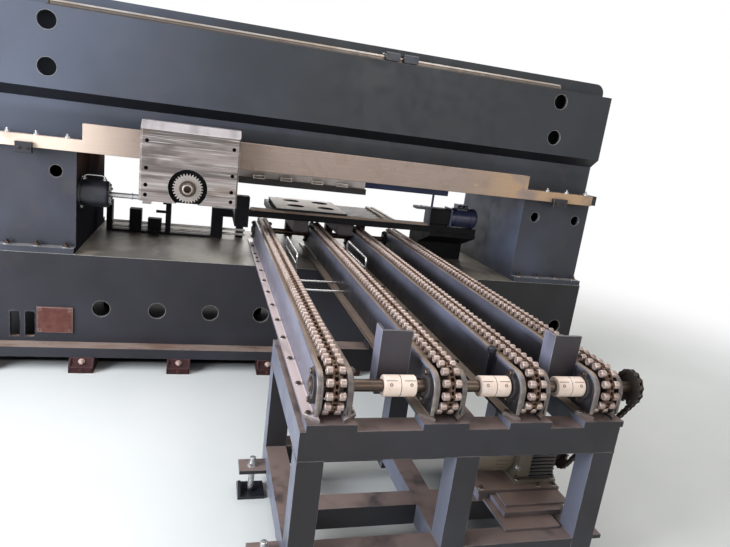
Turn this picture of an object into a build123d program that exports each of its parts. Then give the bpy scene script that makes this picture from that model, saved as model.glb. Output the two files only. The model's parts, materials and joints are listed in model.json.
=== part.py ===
# Sawing and milling machine with a chain conveyor running through its gantry.
# Millimetres, +X to the right along the gantry, +Y away from the front, +Z up, floor at Z = 0.
from build123d import *
from math import acos, atan2, cos, hypot, pi, radians, sin
import os

os.makedirs("parts", exist_ok=True)

# Clearances
run_gap = 0.05          # radial, shaft in its bearing
slide_gap = 0.3         # between a slide and its rail
seat_gap = 0.02         # radial, piece clamped on a shaft
barrel_gap = 1.0        # radial, push cylinder in its column
hole_clear = 4.0        # radial, shaft through a track plate

# Edge bevels and rounds used on many pieces
fine_bevel = 2.0
edge_bevel = 3.0
wide_bevel = 4.0

# Bed
bed_front_y = 346.93
bed_length = 3824.0
bed_depth = 1100.0
bed_bottom_z = 81.0
bed_top_z = 658.0
bed_wall = 30.0
bed_top_plate = 40.0
bed_rib = 25.0
bed_cells = 10
foot_flange_reach = 92.0
foot_flange_height = 57.0
bed_hole_diameter = 95.0
bed_hole_z = 345.0
bed_hole_xs = (-1234, -929, -624, -319, 319, 624, 929, 1234, 1770)
window_width = 55.0
window_height = 155.0
window_z = 240.0
window_xs = (-1678, -1602)
pad_width = 186.0
pad_height = 152.0
pad_thickness = 12.0
pad_x = -1473.0
pad_z = 271.0
pad_hole_radius = 6.0
pad_hole_spacing_x = 156.24
pad_hole_spacing_z = 121.6

# Levelling wedges under the bed
wedge_width = 130.0
wedge_length = 150.0
wedge_pitch = 526.0
wedge_count = 8
wedge_toe = 34.0
wedge_step = 52.0
wedge_screw_radius = 9.0
wedge_screw_reach = 38.0
wedge_slope_start = 0.6
wedge_slope_end = 0.9

# Columns
opening_half = 1382.0
column_width = 508.0
column_front_set = 60.0
column_depth = 940.0
column_flange_side = 15.0
column_flange_height = 32.0
column_top_z = 1226.0
column_wall = 25.0
column_rib = 25.0
column_hole_diameter = 66.0
column_hole_z = 1106.0
column_hole_insets = (102, 419)

# Beam, by its cross-section measured from the front of the bed
beam_half_length = 1921.0
beam_wall = 25.0
beam_base_front = 40.0
beam_base_back = 1000.0
beam_base_height = 64.0
web_front = 180.0
web_top_z = 1481.0
box_front = 110.0
box_bottom_z = 1534.0
box_top_z = 1953.0
back_plate_front = 235.0
back_plate_thickness = 30.0
back_plate_top_z = 2043.0
back_plate_corner = 62.0
back_plate_overhang = 14.0
rear_box_back = 760.0
rear_box_top_z = 1990.0
beam_hole_diameter = 95.0
beam_hole_x = 1540.0
beam_hole_zs = (1878, 1645)

# Machined guide strip along the beam
strip_front = -20.0
strip_back = 40.0
strip_top_z = 1378.0
strip_half_length = 1340.0
ledge_half_length = 1845.0
clamp_left = (-1615.0, 79.0)
clamp_right = (1588.0, 105.0)
clamp_bottom_z = 1196.0
clamp_top_z = 1253.0
clamp_thickness = 28.0

# Linear rail on the beam and its two carriages
rail_half_length = 1535.0
rail_width = 45.0
rail_height = 34.0
rail_waist = 31.0
rail_groove_height = 12.0
rail_offset = 60.0
carriage_length = 88.0
carriage_width = 100.0
carriage_height = 46.0
carriage_lift = 8.0
carriage_xs = (352.0, 470.0)

# Spindle head
head_x = -782.0
head_width = 513.0
head_bottom_z = 1018.0
head_top_z = 1440.0
head_front = -160.0
head_arm_back = 75.0
head_lip_bottom_z = 1302.0
head_lower_back = 60.0
head_bevel_height = 43.0
head_bevel_depth = 60.0
head_edge_bevel = 9.0
head_hole_radius = 7.0
head_hole_depth = 40.0
head_hole_spacing_x = 447.0
head_hole_zs = (1338, 1195, 1105, 1052)

# Spindle and its gear
spindle_x = -789.0
spindle_z = 1104.0
recess_radius = 103.0
recess_depth = 50.0
housing_thickness = 14.0
gear_teeth = 30
gear_module = 5.0
gear_thickness = 30.0
gear_gap = 4.0
hub_radius = 40.0
hub_reach = 16.0
tooth_root_share = 0.95
tooth_tip_share = 0.42
spindle_radius = 30.0
spindle_nose = 26.0
spindle_bore_radius = 17.0
spindle_bore_depth = 60.0

# Push cylinder that moves the head along the beam
rod_radius = 15.0
rod_y = 165.0
rod_z = 988.0
rod_left_x = -1640.0
cylinder_radius = 77.0
cylinder_left_x = -1730.0
cylinder_right_x = -1222.0
cylinder_round = 22.0
cylinder_nose_radius = 30.0
cylinder_tip_radius = 22.0
cylinder_nose_length = 118.0
cylinder_flange_radius = 92.0
cylinder_flange_thickness = 12.0
lug_width = 46.0
lug_height = 70.0
lug_depth = 140.0
lug_lift = 30.0

# Guide rods across the back of the bed, their posts and the slide block
bar_radius = 9.0
bar_y = 780.0
bar_zs = (722.0, 690.0)
bar_left_x = -1325.0
bar_right_x = -400.0
bar_post_depth = 70.0
bar_posts = ((-1307.0, 36.0, 864.0), (-1142.0, 76.0, 818.0), (-930.0, 34.0, 876.0))
bar_arms = ((-1012.0, 800.0, 17.0), (-968.0, 862.0, 14.0))
bar_arm_depth = 20.0
bar_base_height = 12.0
slide_block_x = -1018.0
slide_block_width = 88.0
slide_block_depth = 60.0
slide_block_bottom_z = 675.0
slide_block_top_z = 760.0

# Saddle: an open pedestal with an arm and a tower that carry the left end of the feed beam
saddle_left_x = -639.0
saddle_right_x = -410.0
saddle_front = 745.0
saddle_back = 900.0
saddle_leg_width = 79.0
saddle_rear_leg_width = 50.0
saddle_rear_leg_depth = 80.0
saddle_plate_bottom_z = 815.0
saddle_plate_top_z = 872.0
saddle_top_z = 1017.0
saddle_tower_width = 88.0

# Right pedestal, feed beam and feed table on the bed
pedestal_left_x = 870.0
pedestal_right_x = 1230.0
pedestal_front = 600.0
pedestal_back = 800.0
pedestal_arm_front = 390.0
pedestal_arm_height = 26.0
pedestal_arm_root_z = 780.0
feed_beam_front = 400.0
feed_beam_back = 480.0
feed_beam_right_x = 1230.0
feed_beam_bottom_z = 888.0
feed_beam_top_z = 930.0
table_left_x = -250.0
table_right_x = 645.0
table_back = 1080.0
table_thickness = 45.0
table_drop = 5.0
table_leg_size = 60.0
table_leg_xs = (-45.0, 272.0, 536.0)
table_tube_xs = (-45.0, 272.0)
table_tube_width = 104.0
table_tube_bottom_z = 798.0
feed_rail_width = 16.0
feed_rail_height = 15.0
feed_rail_bevel = 1.5
feed_rail_left_x = -400.0
feed_rail_right_x = 848.0
feed_rail_set = (14.0, 52.0)
table_rail_width = 26.0
table_rail_height = 16.0
table_rail_xs = (572.0, 616.0)
table_rail_clear = 12.0

# Feed plate
plate_left_x = -232.0
plate_right_x = 250.0
plate_front = 392.0
plate_back = 950.0
plate_bottom_z = 950.0
plate_thickness = 12.0
plate_hole_radius = 60.0
plate_hole_spacing_x = 216.0
plate_hole_spacing_y = 250.0
plate_hole_centre_x = 28.0
plate_hole_centre_y = 705.0
plate_shoe_length = 90.0

# Feed drive
bracket_left_x = 748.0
bracket_right_x = 862.0
bracket_top_z = 1062.0
bracket_wall = 18.0
gear_head_right_x = 1004.0
gear_head_size = 112.0
gear_head_round = 10.0
gear_foot_width = 78.4
motor_radius = 72.0
motor_length = 216.0
motor_axis_z = 1003.0
motor_body_inset = 4.0
motor_flange = 12.0
motor_flange_round = 14.0
motor_end_round = 18.0
motor_box_height = 26.0
motor_box_length = 78.0
motor_box_set = 97.0

# Bars under the beam
clip_bar_left_x = -500.0
clip_bar_right_x = 325.0
clip_bar_front = 300.0
clip_bar_back = 350.0
clip_bar_bottom_z = 1155.0
clip_ledge_reach = 40.0
clip_ledge_height = 36.0
clip_xs = (-377.0, -205.0, -4.0, 161.0)
clip_width = 75.0
clip_wall = 6.0
clip_height = 24.0
blue_beam_right_x = 925.0
blue_beam_bottom_z = 1162.0
blue_beam_round = 8.0
hanger_x = 829.0
hanger_size = 12.0
hanger_bottom_z = 1073.0

# Conveyor tracks
track_xs = (-292.0, 85.0, 392.0, 680.0)
track_inner_half = 38.0
track_plate = 9.0
track_flange_half = 85.0
track_flange_height = 10.0
track_top_z = 815.0
track_nose = 70.0
track_nose_round = 63.0
track_web_height = 8.0
head_shaft_y = -1840.0
tail_shaft_y = 690.0
shaft_z = 752.0
shaft_radius = 20.0
shaft_overhang = 8.0

# Chains: rollers stand outside two rows of link plates
chain_pitch = 40.0
sprocket_teeth = 12
roller_radius = 13.5
roller_inner = 12.0
roller_outer = 36.0
link_inner = 8.0
link_half_height = 10.0
link_pin_radius = 5.0
wear_rail_height = 15.0
sprocket_half_width = 6.0
sprocket_hub_radius = 34.0
sprocket_hub_half = 34.0
sprocket_root_drop = 14.0
sprocket_tooth_rise = 5.0
sprocket_tooth_sink = 6.0
sprocket_tooth_half = 9.0
sprocket_tip_half = 3.0
chain_bridge_step = 3

# Bearings
bearing_thickness = 16.0
bearing_radius = 42.0
bearing_ear = 48.0
bearing_ear_radius = 14.0

# Couplings on the head shaft
coupling_xs = (-70.0, 267.0, 558.5)
coupling_length = 108.0
coupling_radius = 35.0

# Conveyor frame
frame_left_x = -390.0
frame_right_x = 750.0
frame_mid_x = 182.5
frame_front = -1921.0
frame_back = -1164.0
tube = 85.0
top_tube_height = 100.0
frame_top_z = 636.0
lower_top_z = 185.0
cross_front = -1680.0
leg_bottom_z = 60.0
track_pad_half = 80.0

# Levelling feet of the frame
foot_reach = 55.0
foot_ys = (-1800.0, -1290.0)
foot_plate_thickness = 12.0
foot_plate_size = 110.0
foot_lug_width = 88.0
foot_socket_radius = 20.4
foot_gusset_height = 42.0
foot_screw_radius = 12.0
foot_screw_top_z = 162.0
foot_lug_thickness = 16.0
foot_lug_z = 110.0
foot_nut_radius = 19.0
foot_nut_height = 14.0

# Conveyor drive
drive_x = 820.0
drive_teeth = 14
motor_teeth = 12
drive_pitch = 25.4
drive_link_gap = 0.3
drive_link_inner = 5.0
drive_link_outer = 8.0
drive_link_half_height = 9.0
drive_pin_radius = 5.0
drive_tooth = 7.1
drive_tip_half = 2.5
drive_root_drop = 7.2
drive_hub_share = 1.7
gear_shaft_y = -1560.0
gear_shaft_z = 300.0
gear_shaft_radius = 15.0
output_shaft_depth = 58.0
output_boss = 14.0
output_boss_radius = 36.0
output_shaft_clear = 2.0
reducer_left_x = 560.0
reducer_right_x = 738.0
reducer_half_depth = 80.0
reducer_top_z = 402.0
reducer_round = 26.0
reducer_foot_height = 18.0
reducer_foot_side = 4.0
reducer_foot_reach = 22.0
drive_motor_left_x = 392.0
drive_motor_radius = 66.0
drive_motor_z = 328.0
drive_motor_round = 14.0
fin_count = 24
fin_height = 9.0
fin_width = 5.0
fin_root = 1.0
fin_end_gap = 12.0
channel_xs = (418.0, 640.0)
channel_width = 42.0
channel_height = 40.0
base_plate_thickness = 12.0
base_plate_left_x = 385.0
base_plate_right_x = 745.0
base_plate_front = -1690.0
base_plate_back = -1430.0

# Stops, post and flat bar
stop_left_xs = (-126.0, 518.0)
stop_width = 108.0
stop_y = -1775.0
stop_flange_depth = 68.0
stop_plate = 9.0
stop_bottom_z = 690.0
stop_top_z = 916.0
post_x = 322.0
post_y = -1700.0
post_width = 26.0
post_top_z = 822.0
knob_radius = 17.0
flat_bar_offset = 20.5
flat_bar_width = 34.0
flat_bar_height = 12.0
flat_bar_front = -1540.0
flat_bar_back = 150.0
flat_bar_hole = 7.0
flat_bar_hole_inset = 118.3

# Hoops of bent rod beside the first two tracks
hoop_radius = 5.0
hoop_bend = 20.0
hoop_inset = 6.0
hoop_front = -500.0
hoop_back = -50.0
hoop_top_z = 862.0
hoop_lower_z = 804.0

# Tie rods between the first two tracks
tie_radius = 5.0
tie_ys = (-395.0, -573.0)
tie_z = 690.0


def at(depth):
    """Y in the model frame of a point that lies this far behind the front of the bed."""
    return bed_front_y + depth


def roller_centres(first_y, last_y, radius):
    """Centres of the rollers on the upper run, then down round the head sprocket."""
    points = []
    run_pitches = int((last_y - first_y) / chain_pitch)
    for index in range(run_pitches + 1):
        points.append((first_y + index * chain_pitch, shaft_z + radius))
    for index in range(1, sprocket_teeth // 2 + 1):
        angle = radians(90 + index * 360 / sprocket_teeth)
        points.append((first_y + radius * cos(angle), shaft_z + radius * sin(angle)))
    return points


chain_radius = chain_pitch / (2 * sin(pi / sprocket_teeth))
head_y = at(head_shaft_y)
tail_y = at(tail_shaft_y)

# Bed: a cast box open below, with ribs, front and back foot flanges and round openings
with BuildPart() as bed:
    with BuildSketch(Plane.XY.offset(bed_bottom_z)):
        with Locations((0, at(bed_depth / 2))):
            Rectangle(bed_length, bed_depth)
    extrude(amount=bed_top_z - bed_bottom_z)
    with BuildSketch(Plane.XY.offset(bed_bottom_z)):
        with Locations((0, at(bed_depth / 2))):
            Rectangle(bed_length, bed_depth + 2 * foot_flange_reach)
    extrude(amount=foot_flange_height)
    cell_pitch = (bed_length - 2 * bed_wall + bed_rib) / bed_cells
    with BuildSketch(Plane.XY.offset(bed_bottom_z)):
        with Locations((0, at(bed_depth / 2))):
            with GridLocations(cell_pitch, 0, bed_cells, 1):
                Rectangle(cell_pitch - bed_rib, bed_depth - 2 * bed_wall)
    extrude(amount=bed_top_z - bed_top_plate - bed_bottom_z, mode=Mode.SUBTRACT)
    with BuildSketch(Plane.XZ.offset(-at(0))):
        with Locations(*[(x, bed_hole_z) for x in bed_hole_xs]):
            Circle(bed_hole_diameter / 2)
        with Locations(*[(x, window_z) for x in window_xs]):
            Rectangle(window_width, window_height)
    extrude(amount=-bed_wall, mode=Mode.SUBTRACT)
bed.part.label = "bed"
export_step(bed.part, "parts/bed.step")

# Machined pad on the front of the bed
with BuildPart() as bed_pad:
    with BuildSketch(Plane.XZ.offset(-at(0))):
        with Locations((pad_x, pad_z)):
            Rectangle(pad_width, pad_height)
            with GridLocations(pad_hole_spacing_x, pad_hole_spacing_z, 2, 2):
                Circle(pad_hole_radius, mode=Mode.SUBTRACT)
    extrude(amount=pad_thickness)
    chamfer(bed_pad.faces().sort_by(Axis.Y)[0].outer_wire().edges(), fine_bevel)
bed_pad.part.label = "bed_pad"
export_step(bed_pad.part, "parts/bed_pad.step")

# Levelling wedges: a stepped wedge with its adjusting screw in front
wedge_reach = (wedge_count - 1) * wedge_pitch / 2
with BuildPart() as levelling_wedges:
    for side in (1, -1):
        flange_edge = at(-foot_flange_reach) if side == 1 else at(bed_depth + foot_flange_reach)
        toe_y = flange_edge - side * wedge_screw_reach
        heel_y = toe_y + side * wedge_length
        for index in range(wedge_count):
            wedge_x = index * wedge_pitch - wedge_reach
            with BuildSketch(Plane.YZ.offset(wedge_x - wedge_width / 2)):
                with BuildLine():
                    Polyline(
                        (toe_y, 0),
                        (heel_y, 0),
                        (heel_y, bed_bottom_z),
                        (toe_y + side * wedge_screw_reach * wedge_slope_end, bed_bottom_z),
                        (toe_y + side * wedge_screw_reach * wedge_slope_start, wedge_step),
                        (toe_y, wedge_toe),
                        close=True,
                    )
                make_face()
            extrude(amount=wedge_width)
            with BuildSketch(Plane.XZ.offset(-toe_y)):
                with Locations((wedge_x, wedge_toe / 2)):
                    RegularPolygon(wedge_screw_radius, 6)
            extrude(amount=side * wedge_screw_radius)
levelling_wedges.part.label = "levelling_wedges"
export_step(levelling_wedges.part, "parts/levelling_wedges.step")

# Columns: hollow boxes with crossed ribs on a foot flange, and round openings in front
column_cell_x = (column_width - 2 * column_wall - column_rib) / 2
column_cell_y = (column_depth - 2 * column_wall - column_rib) / 2
with BuildPart() as left_column:
    centre_x = -opening_half - column_width / 2
    centre_y = at(column_front_set + column_depth / 2)
    with BuildSketch(Plane.XY.offset(bed_top_z)):
        with Locations((centre_x, centre_y)):
            Rectangle(column_width, column_depth)
    extrude(amount=column_top_z - bed_top_z)
    with BuildSketch(Plane.XY.offset(bed_top_z)):
        with Locations((centre_x - column_flange_side / 2, centre_y)):
            Rectangle(column_width + column_flange_side, column_depth + 2 * column_front_set)
    extrude(amount=column_flange_height)
    with BuildSketch(Plane.XY.offset(bed_top_z)):
        with Locations((centre_x, centre_y)):
            with GridLocations(column_cell_x + column_rib, column_cell_y + column_rib, 2, 2):
                Rectangle(column_cell_x, column_cell_y)
    extrude(amount=column_top_z - bed_top_z, mode=Mode.SUBTRACT)
    with BuildSketch(Plane.XZ.offset(-at(column_front_set))):
        with Locations(*[(-opening_half - inset, column_hole_z) for inset in column_hole_insets]):
            Circle(column_hole_diameter / 2)
    extrude(amount=-column_wall, mode=Mode.SUBTRACT)
    with BuildSketch(Plane.YZ.offset(-opening_half)):
        with Locations((at(rod_y), rod_z)):
            Circle(cylinder_radius + barrel_gap)
    extrude(amount=cylinder_left_x - barrel_gap + opening_half, mode=Mode.SUBTRACT)
left_column.part.label = "left_column"
export_step(left_column.part, "parts/left_column.step")

with BuildPart() as right_column:
    centre_x = opening_half + column_width / 2
    with BuildSketch(Plane.XY.offset(bed_top_z)):
        with Locations((centre_x, centre_y)):
            Rectangle(column_width, column_depth)
    extrude(amount=column_top_z - bed_top_z)
    with BuildSketch(Plane.XY.offset(bed_top_z)):
        with Locations((centre_x + column_flange_side / 2, centre_y)):
            Rectangle(column_width + column_flange_side, column_depth + 2 * column_front_set)
    extrude(amount=column_flange_height)
    with BuildSketch(Plane.XY.offset(bed_top_z)):
        with Locations((centre_x, centre_y)):
            with GridLocations(column_cell_x + column_rib, column_cell_y + column_rib, 2, 2):
                Rectangle(column_cell_x, column_cell_y)
    extrude(amount=column_top_z - bed_top_z, mode=Mode.SUBTRACT)
    with BuildSketch(Plane.XZ.offset(-at(column_front_set))):
        with Locations(*[(opening_half + inset, column_hole_z) for inset in column_hole_insets]):
            Circle(column_hole_diameter / 2)
    extrude(amount=-column_wall, mode=Mode.SUBTRACT)
right_column.part.label = "right_column"
export_step(right_column.part, "parts/right_column.step")

# Beam: base plate, box girder with a web along its middle, and a taller plate behind the rail
ledge_top_z = column_top_z + beam_base_height
with BuildPart() as crossbeam:
    with BuildSketch(Plane.YZ.offset(-beam_half_length)):
        with BuildLine():
            Polyline(
                (at(beam_base_front), column_top_z),
                (at(beam_base_back), column_top_z),
                (at(beam_base_back), ledge_top_z),
                (at(rear_box_back), ledge_top_z),
                (at(rear_box_back), rear_box_top_z),
                (at(back_plate_front + back_plate_thickness), rear_box_top_z),
                (at(back_plate_front), box_top_z),
                (at(box_front), box_top_z),
                (at(box_front), box_bottom_z),
                (at(web_front), web_top_z),
                (at(web_front), ledge_top_z),
                (at(beam_base_front), ledge_top_z),
                close=True,
            )
        make_face()
    extrude(amount=2 * beam_half_length)
    with BuildSketch(Plane.YZ.offset(-beam_half_length + beam_wall)):
        with BuildLine():
            Polyline(
                (at(web_front + beam_wall), ledge_top_z),
                (at(rear_box_back - beam_wall), ledge_top_z),
                (at(rear_box_back - beam_wall), rear_box_top_z - beam_wall),
                (at(back_plate_front + back_plate_thickness), rear_box_top_z - beam_wall),
                (at(back_plate_front), box_top_z - beam_wall),
                (at(box_front + beam_wall), box_top_z - beam_wall),
                (at(box_front + beam_wall), box_bottom_z + beam_wall / 2),
                (at(web_front + beam_wall), web_top_z + beam_wall / 2),
                close=True,
            )
        make_face()
    extrude(amount=2 * (beam_half_length - beam_wall), mode=Mode.SUBTRACT)
    with BuildSketch(Plane.XY.offset(ledge_top_z)):
        with Locations((0, at((web_front + rear_box_back + beam_wall) / 2))):
            Rectangle(2 * (beam_half_length - beam_wall), beam_wall)
    extrude(amount=rear_box_top_z - beam_wall - ledge_top_z)
    with BuildSketch(Plane.XZ.offset(-at(box_front))):
        with GridLocations(2 * beam_hole_x, 0, 2, 1):
            for hole_z in beam_hole_zs:
                with Locations((0, hole_z)):
                    Circle(beam_hole_diameter / 2)
    extrude(amount=-beam_wall, mode=Mode.SUBTRACT)
    with BuildSketch(Plane.XZ.offset(-at(back_plate_front))) as back_outline:
        with Locations((0, (box_bottom_z + back_plate_top_z) / 2)):
            Rectangle(2 * (beam_half_length + back_plate_overhang), back_plate_top_z - box_bottom_z)
        fillet(back_outline.vertices().group_by(Axis.Z)[-1], back_plate_corner)
    extrude(amount=-back_plate_thickness)
crossbeam.part.label = "crossbeam"
export_step(crossbeam.part, "parts/crossbeam.step")

# Guide strip: full height between the columns, a lower ledge over each column
with BuildPart() as guide_strip:
    with BuildSketch(Plane.XZ.offset(-at(strip_back))):
        with BuildLine():
            Polyline(
                (-ledge_half_length, column_top_z),
                (ledge_half_length, column_top_z),
                (ledge_half_length, ledge_top_z),
                (strip_half_length, ledge_top_z),
                (strip_half_length, strip_top_z),
                (-strip_half_length, strip_top_z),
                (-strip_half_length, ledge_top_z),
                (-ledge_half_length, ledge_top_z),
                close=True,
            )
        make_face()
    extrude(amount=strip_back - strip_front)
    chamfer(guide_strip.edges().filter_by(Axis.X).group_by(Axis.Y)[0], fine_bevel)
guide_strip.part.label = "guide_strip"
export_step(guide_strip.part, "parts/guide_strip.step")

with BuildPart() as strip_clamps:
    with BuildSketch(Plane.XZ.offset(-at(strip_front))):
        with Locations((clamp_left[0], (clamp_bottom_z + clamp_top_z) / 2)):
            Rectangle(clamp_left[1], clamp_top_z - clamp_bottom_z)
        with Locations((clamp_right[0], (clamp_bottom_z + clamp_top_z) / 2)):
            Rectangle(clamp_right[1], clamp_top_z - clamp_bottom_z)
    extrude(amount=clamp_thickness)
    chamfer(strip_clamps.faces().sort_by(Axis.Y)[:2].edges(), fine_bevel)
strip_clamps.part.label = "strip_clamps"
export_step(strip_clamps.part, "parts/strip_clamps.step")

# Linear rail with grooved sides on top of the box
rail_y = at(box_front + rail_offset)
with BuildPart() as beam_rail:
    with BuildSketch(Plane.YZ.offset(-rail_half_length)):
        with Locations((rail_y, box_top_z + rail_height / 2)):
            Rectangle(rail_width, rail_height)
            groove = (rail_width - rail_waist) / 2
            with GridLocations(rail_width - groove, 0, 2, 1):
                Rectangle(groove, rail_groove_height, mode=Mode.SUBTRACT)
    extrude(amount=2 * rail_half_length)
beam_rail.part.label = "beam_rail"
export_step(beam_rail.part, "parts/beam_rail.step")

# Carriages that hook into the rail's grooves
for number, carriage_x in enumerate(carriage_xs, start=1):
    with BuildPart() as rail_carriage:
        with BuildSketch(Plane.YZ.offset(carriage_x - carriage_length / 2)):
            with Locations((rail_y, box_top_z + carriage_lift + carriage_height / 2)):
                Rectangle(carriage_width, carriage_height)
            with Locations((rail_y, box_top_z + rail_height / 2)):
                Rectangle(rail_width + 2 * slide_gap, rail_height + 2 * slide_gap, mode=Mode.SUBTRACT)
            hook = (rail_width - rail_waist) / 2
            with Locations((rail_y, box_top_z + rail_height / 2)):
                with GridLocations(rail_width - hook + 4 * slide_gap, 0, 2, 1):
                    Rectangle(hook + 2 * slide_gap, rail_groove_height - 2 * slide_gap)
        extrude(amount=carriage_length)
        chamfer(rail_carriage.faces().sort_by(Axis.Z)[-1].edges(), wide_bevel)
    rail_carriage.part.label = f"rail_carriage_{number}"
    export_step(rail_carriage.part, f"parts/rail_carriage_{number}.step")

# Spindle head: grips the guide strip from the front, above, behind and below
strip_face = strip_front - slide_gap
with BuildPart() as head_block:
    with BuildSketch(Plane.YZ.offset(head_x - head_width / 2)):
        with BuildLine():
            Polyline(
                (at(head_front), head_bottom_z),
                (at(head_lower_back), head_bottom_z),
                (at(head_lower_back), column_top_z - slide_gap),
                (at(strip_face), column_top_z - slide_gap),
                (at(strip_face), strip_top_z + slide_gap),
                (at(strip_back + slide_gap), strip_top_z + slide_gap),
                (at(strip_back + slide_gap), head_lip_bottom_z),
                (at(head_arm_back), head_lip_bottom_z),
                (at(head_arm_back), head_top_z),
                (at(head_front + head_bevel_depth), head_top_z),
                (at(head_front), head_top_z - head_bevel_height),
                close=True,
            )
        make_face()
    extrude(amount=head_width)
    side_edges = head_block.edges().filter_by(Axis.Z).group_by(Axis.Y)[0]
    chamfer(side_edges, head_edge_bevel)
    with BuildSketch(Plane.XZ.offset(-at(head_front))):
        with Locations((spindle_x, spindle_z)):
            Circle(recess_radius)
    extrude(amount=-recess_depth, mode=Mode.SUBTRACT)
    with BuildSketch(Plane.XZ.offset(-at(head_front))):
        with Locations((spindle_x, spindle_z)):
            Circle(spindle_radius + run_gap)
    extrude(amount=head_front - head_lower_back, mode=Mode.SUBTRACT)
    with BuildSketch(Plane.XZ.offset(-at(head_front))):
        for hole_z in head_hole_zs:
            with Locations((head_x, hole_z)):
                with GridLocations(head_hole_spacing_x, 0, 2, 1):
                    Circle(head_hole_radius)
    extrude(amount=-head_hole_depth, mode=Mode.SUBTRACT)
    lug_x = head_x - head_width / 2
    with BuildSketch(Plane.YZ.offset(lug_x)):
        with Locations((at(head_lower_back + lug_depth / 2), rod_z + lug_lift)):
            Rectangle(lug_depth, lug_height + 2 * rod_radius)
    extrude(amount=lug_width)
head_block.part.label = "head_block"
export_step(head_block.part, "parts/head_block.step")

# Bearing housing at the bottom of the head's recess
housing_front = head_front + recess_depth - housing_thickness
with BuildPart() as spindle_housing:
    with BuildSketch(Plane.XZ.offset(-at(head_front + recess_depth))):
        with Locations((spindle_x, spindle_z)):
            Circle(recess_radius - seat_gap)
            Circle(spindle_radius + run_gap, mode=Mode.SUBTRACT)
        with Locations((spindle_x, head_bottom_z - recess_radius)):
            Rectangle(2 * recess_radius, 2 * recess_radius, mode=Mode.SUBTRACT)
    extrude(amount=housing_thickness)
spindle_housing.part.label = "spindle_housing"
export_step(spindle_housing.part, "parts/spindle_housing.step")

# Spindle gear: straight teeth on a stepped hub
gear_tip = gear_module * (gear_teeth + 2) / 2
gear_root = gear_module * (gear_teeth - 2.5) / 2
gear_back = housing_front - gear_gap
with BuildPart() as spindle_gear:
    with BuildSketch(Plane.XZ.offset(-at(gear_back))):
        with Locations((spindle_x, spindle_z)):
            Circle(gear_root)
            with PolarLocations(0, gear_teeth):
                Polygon(
                    (gear_root - gear_module, -gear_module * tooth_root_share),
                    (gear_root, -gear_module * tooth_root_share),
                    (gear_tip, -gear_module * tooth_tip_share),
                    (gear_tip, gear_module * tooth_tip_share),
                    (gear_root, gear_module * tooth_root_share),
                    (gear_root - gear_module, gear_module * tooth_root_share),
                    align=None,
                )
            Circle(spindle_radius + seat_gap, mode=Mode.SUBTRACT)
    extrude(amount=gear_thickness)
    with BuildSketch(Plane.XZ.offset(-at(gear_back - gear_thickness))):
        with Locations((spindle_x, spindle_z)):
            Circle(hub_radius)
            Circle(spindle_radius + seat_gap, mode=Mode.SUBTRACT)
    extrude(amount=hub_reach)
    chamfer(spindle_gear.faces().sort_by(Axis.Y)[0].outer_wire().edges(), edge_bevel)
spindle_gear.part.label = "spindle_gear"
export_step(spindle_gear.part, "parts/spindle_gear.step")

# Spindle shaft with a bored nose
spindle_front = gear_back - gear_thickness - hub_reach - spindle_nose
with BuildPart() as spindle_shaft:
    with BuildSketch(Plane.XZ.offset(-at(head_lower_back))):
        with Locations((spindle_x, spindle_z)):
            Circle(spindle_radius)
    extrude(amount=head_lower_back - spindle_front)
    chamfer(spindle_shaft.faces().sort_by(Axis.Y)[0].edges(), edge_bevel)
    with BuildSketch(Plane.XZ.offset(-at(spindle_front))):
        with Locations((spindle_x, spindle_z)):
            Circle(spindle_bore_radius)
    extrude(amount=-spindle_bore_depth, mode=Mode.SUBTRACT)
spindle_shaft.part.label = "spindle_shaft"
export_step(spindle_shaft.part, "parts/spindle_shaft.step")

# Push rod, fixed in the head's lug and sliding in the cylinder
with BuildPart() as push_rod:
    with BuildSketch(Plane.YZ.offset(rod_left_x)):
        with Locations((at(rod_y), rod_z)):
            Circle(rod_radius)
    extrude(amount=lug_x - rod_left_x)
push_rod.part.label = "push_rod"
export_step(push_rod.part, "parts/push_rod.step")

with BuildPart() as push_cylinder:
    with BuildSketch(Plane.YZ.offset(cylinder_left_x)):
        with Locations((at(rod_y), rod_z)):
            Circle(cylinder_radius)
    extrude(amount=cylinder_right_x - cylinder_left_x)
    fillet(push_cylinder.faces().sort_by(Axis.X)[-1].edges(), cylinder_round)
    with BuildSketch(Plane.YZ.offset(-opening_half)):
        with Locations((at(rod_y), rod_z)):
            Circle(cylinder_flange_radius)
    extrude(amount=cylinder_flange_thickness)
    with BuildSketch(Plane.YZ.offset(cylinder_right_x)) as nose_root:
        with Locations((at(rod_y), rod_z)):
            Circle(cylinder_nose_radius)
    with BuildSketch(Plane.YZ.offset(cylinder_right_x + cylinder_nose_length)) as nose_tip:
        with Locations((at(rod_y), rod_z)):
            Circle(cylinder_tip_radius)
    loft([nose_root.sketch, nose_tip.sketch])
    with BuildSketch(Plane.YZ.offset(cylinder_left_x + column_wall)):
        with Locations((at(rod_y), rod_z)):
            Circle(rod_radius + slide_gap)
    bore_length = cylinder_right_x + cylinder_nose_length - cylinder_left_x
    extrude(amount=bore_length, mode=Mode.SUBTRACT)
push_cylinder.part.label = "push_cylinder"
export_step(push_cylinder.part, "parts/push_cylinder.step")

# Guide rods from the left post through the saddle
with BuildPart() as guide_rods:
    with BuildSketch(Plane.YZ.offset(bar_left_x)):
        with Locations(*[(at(bar_y), z) for z in bar_zs]):
            Circle(bar_radius)
    extrude(amount=bar_right_x - bar_left_x)
guide_rods.part.label = "guide_rods"
export_step(guide_rods.part, "parts/guide_rods.step")

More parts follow.
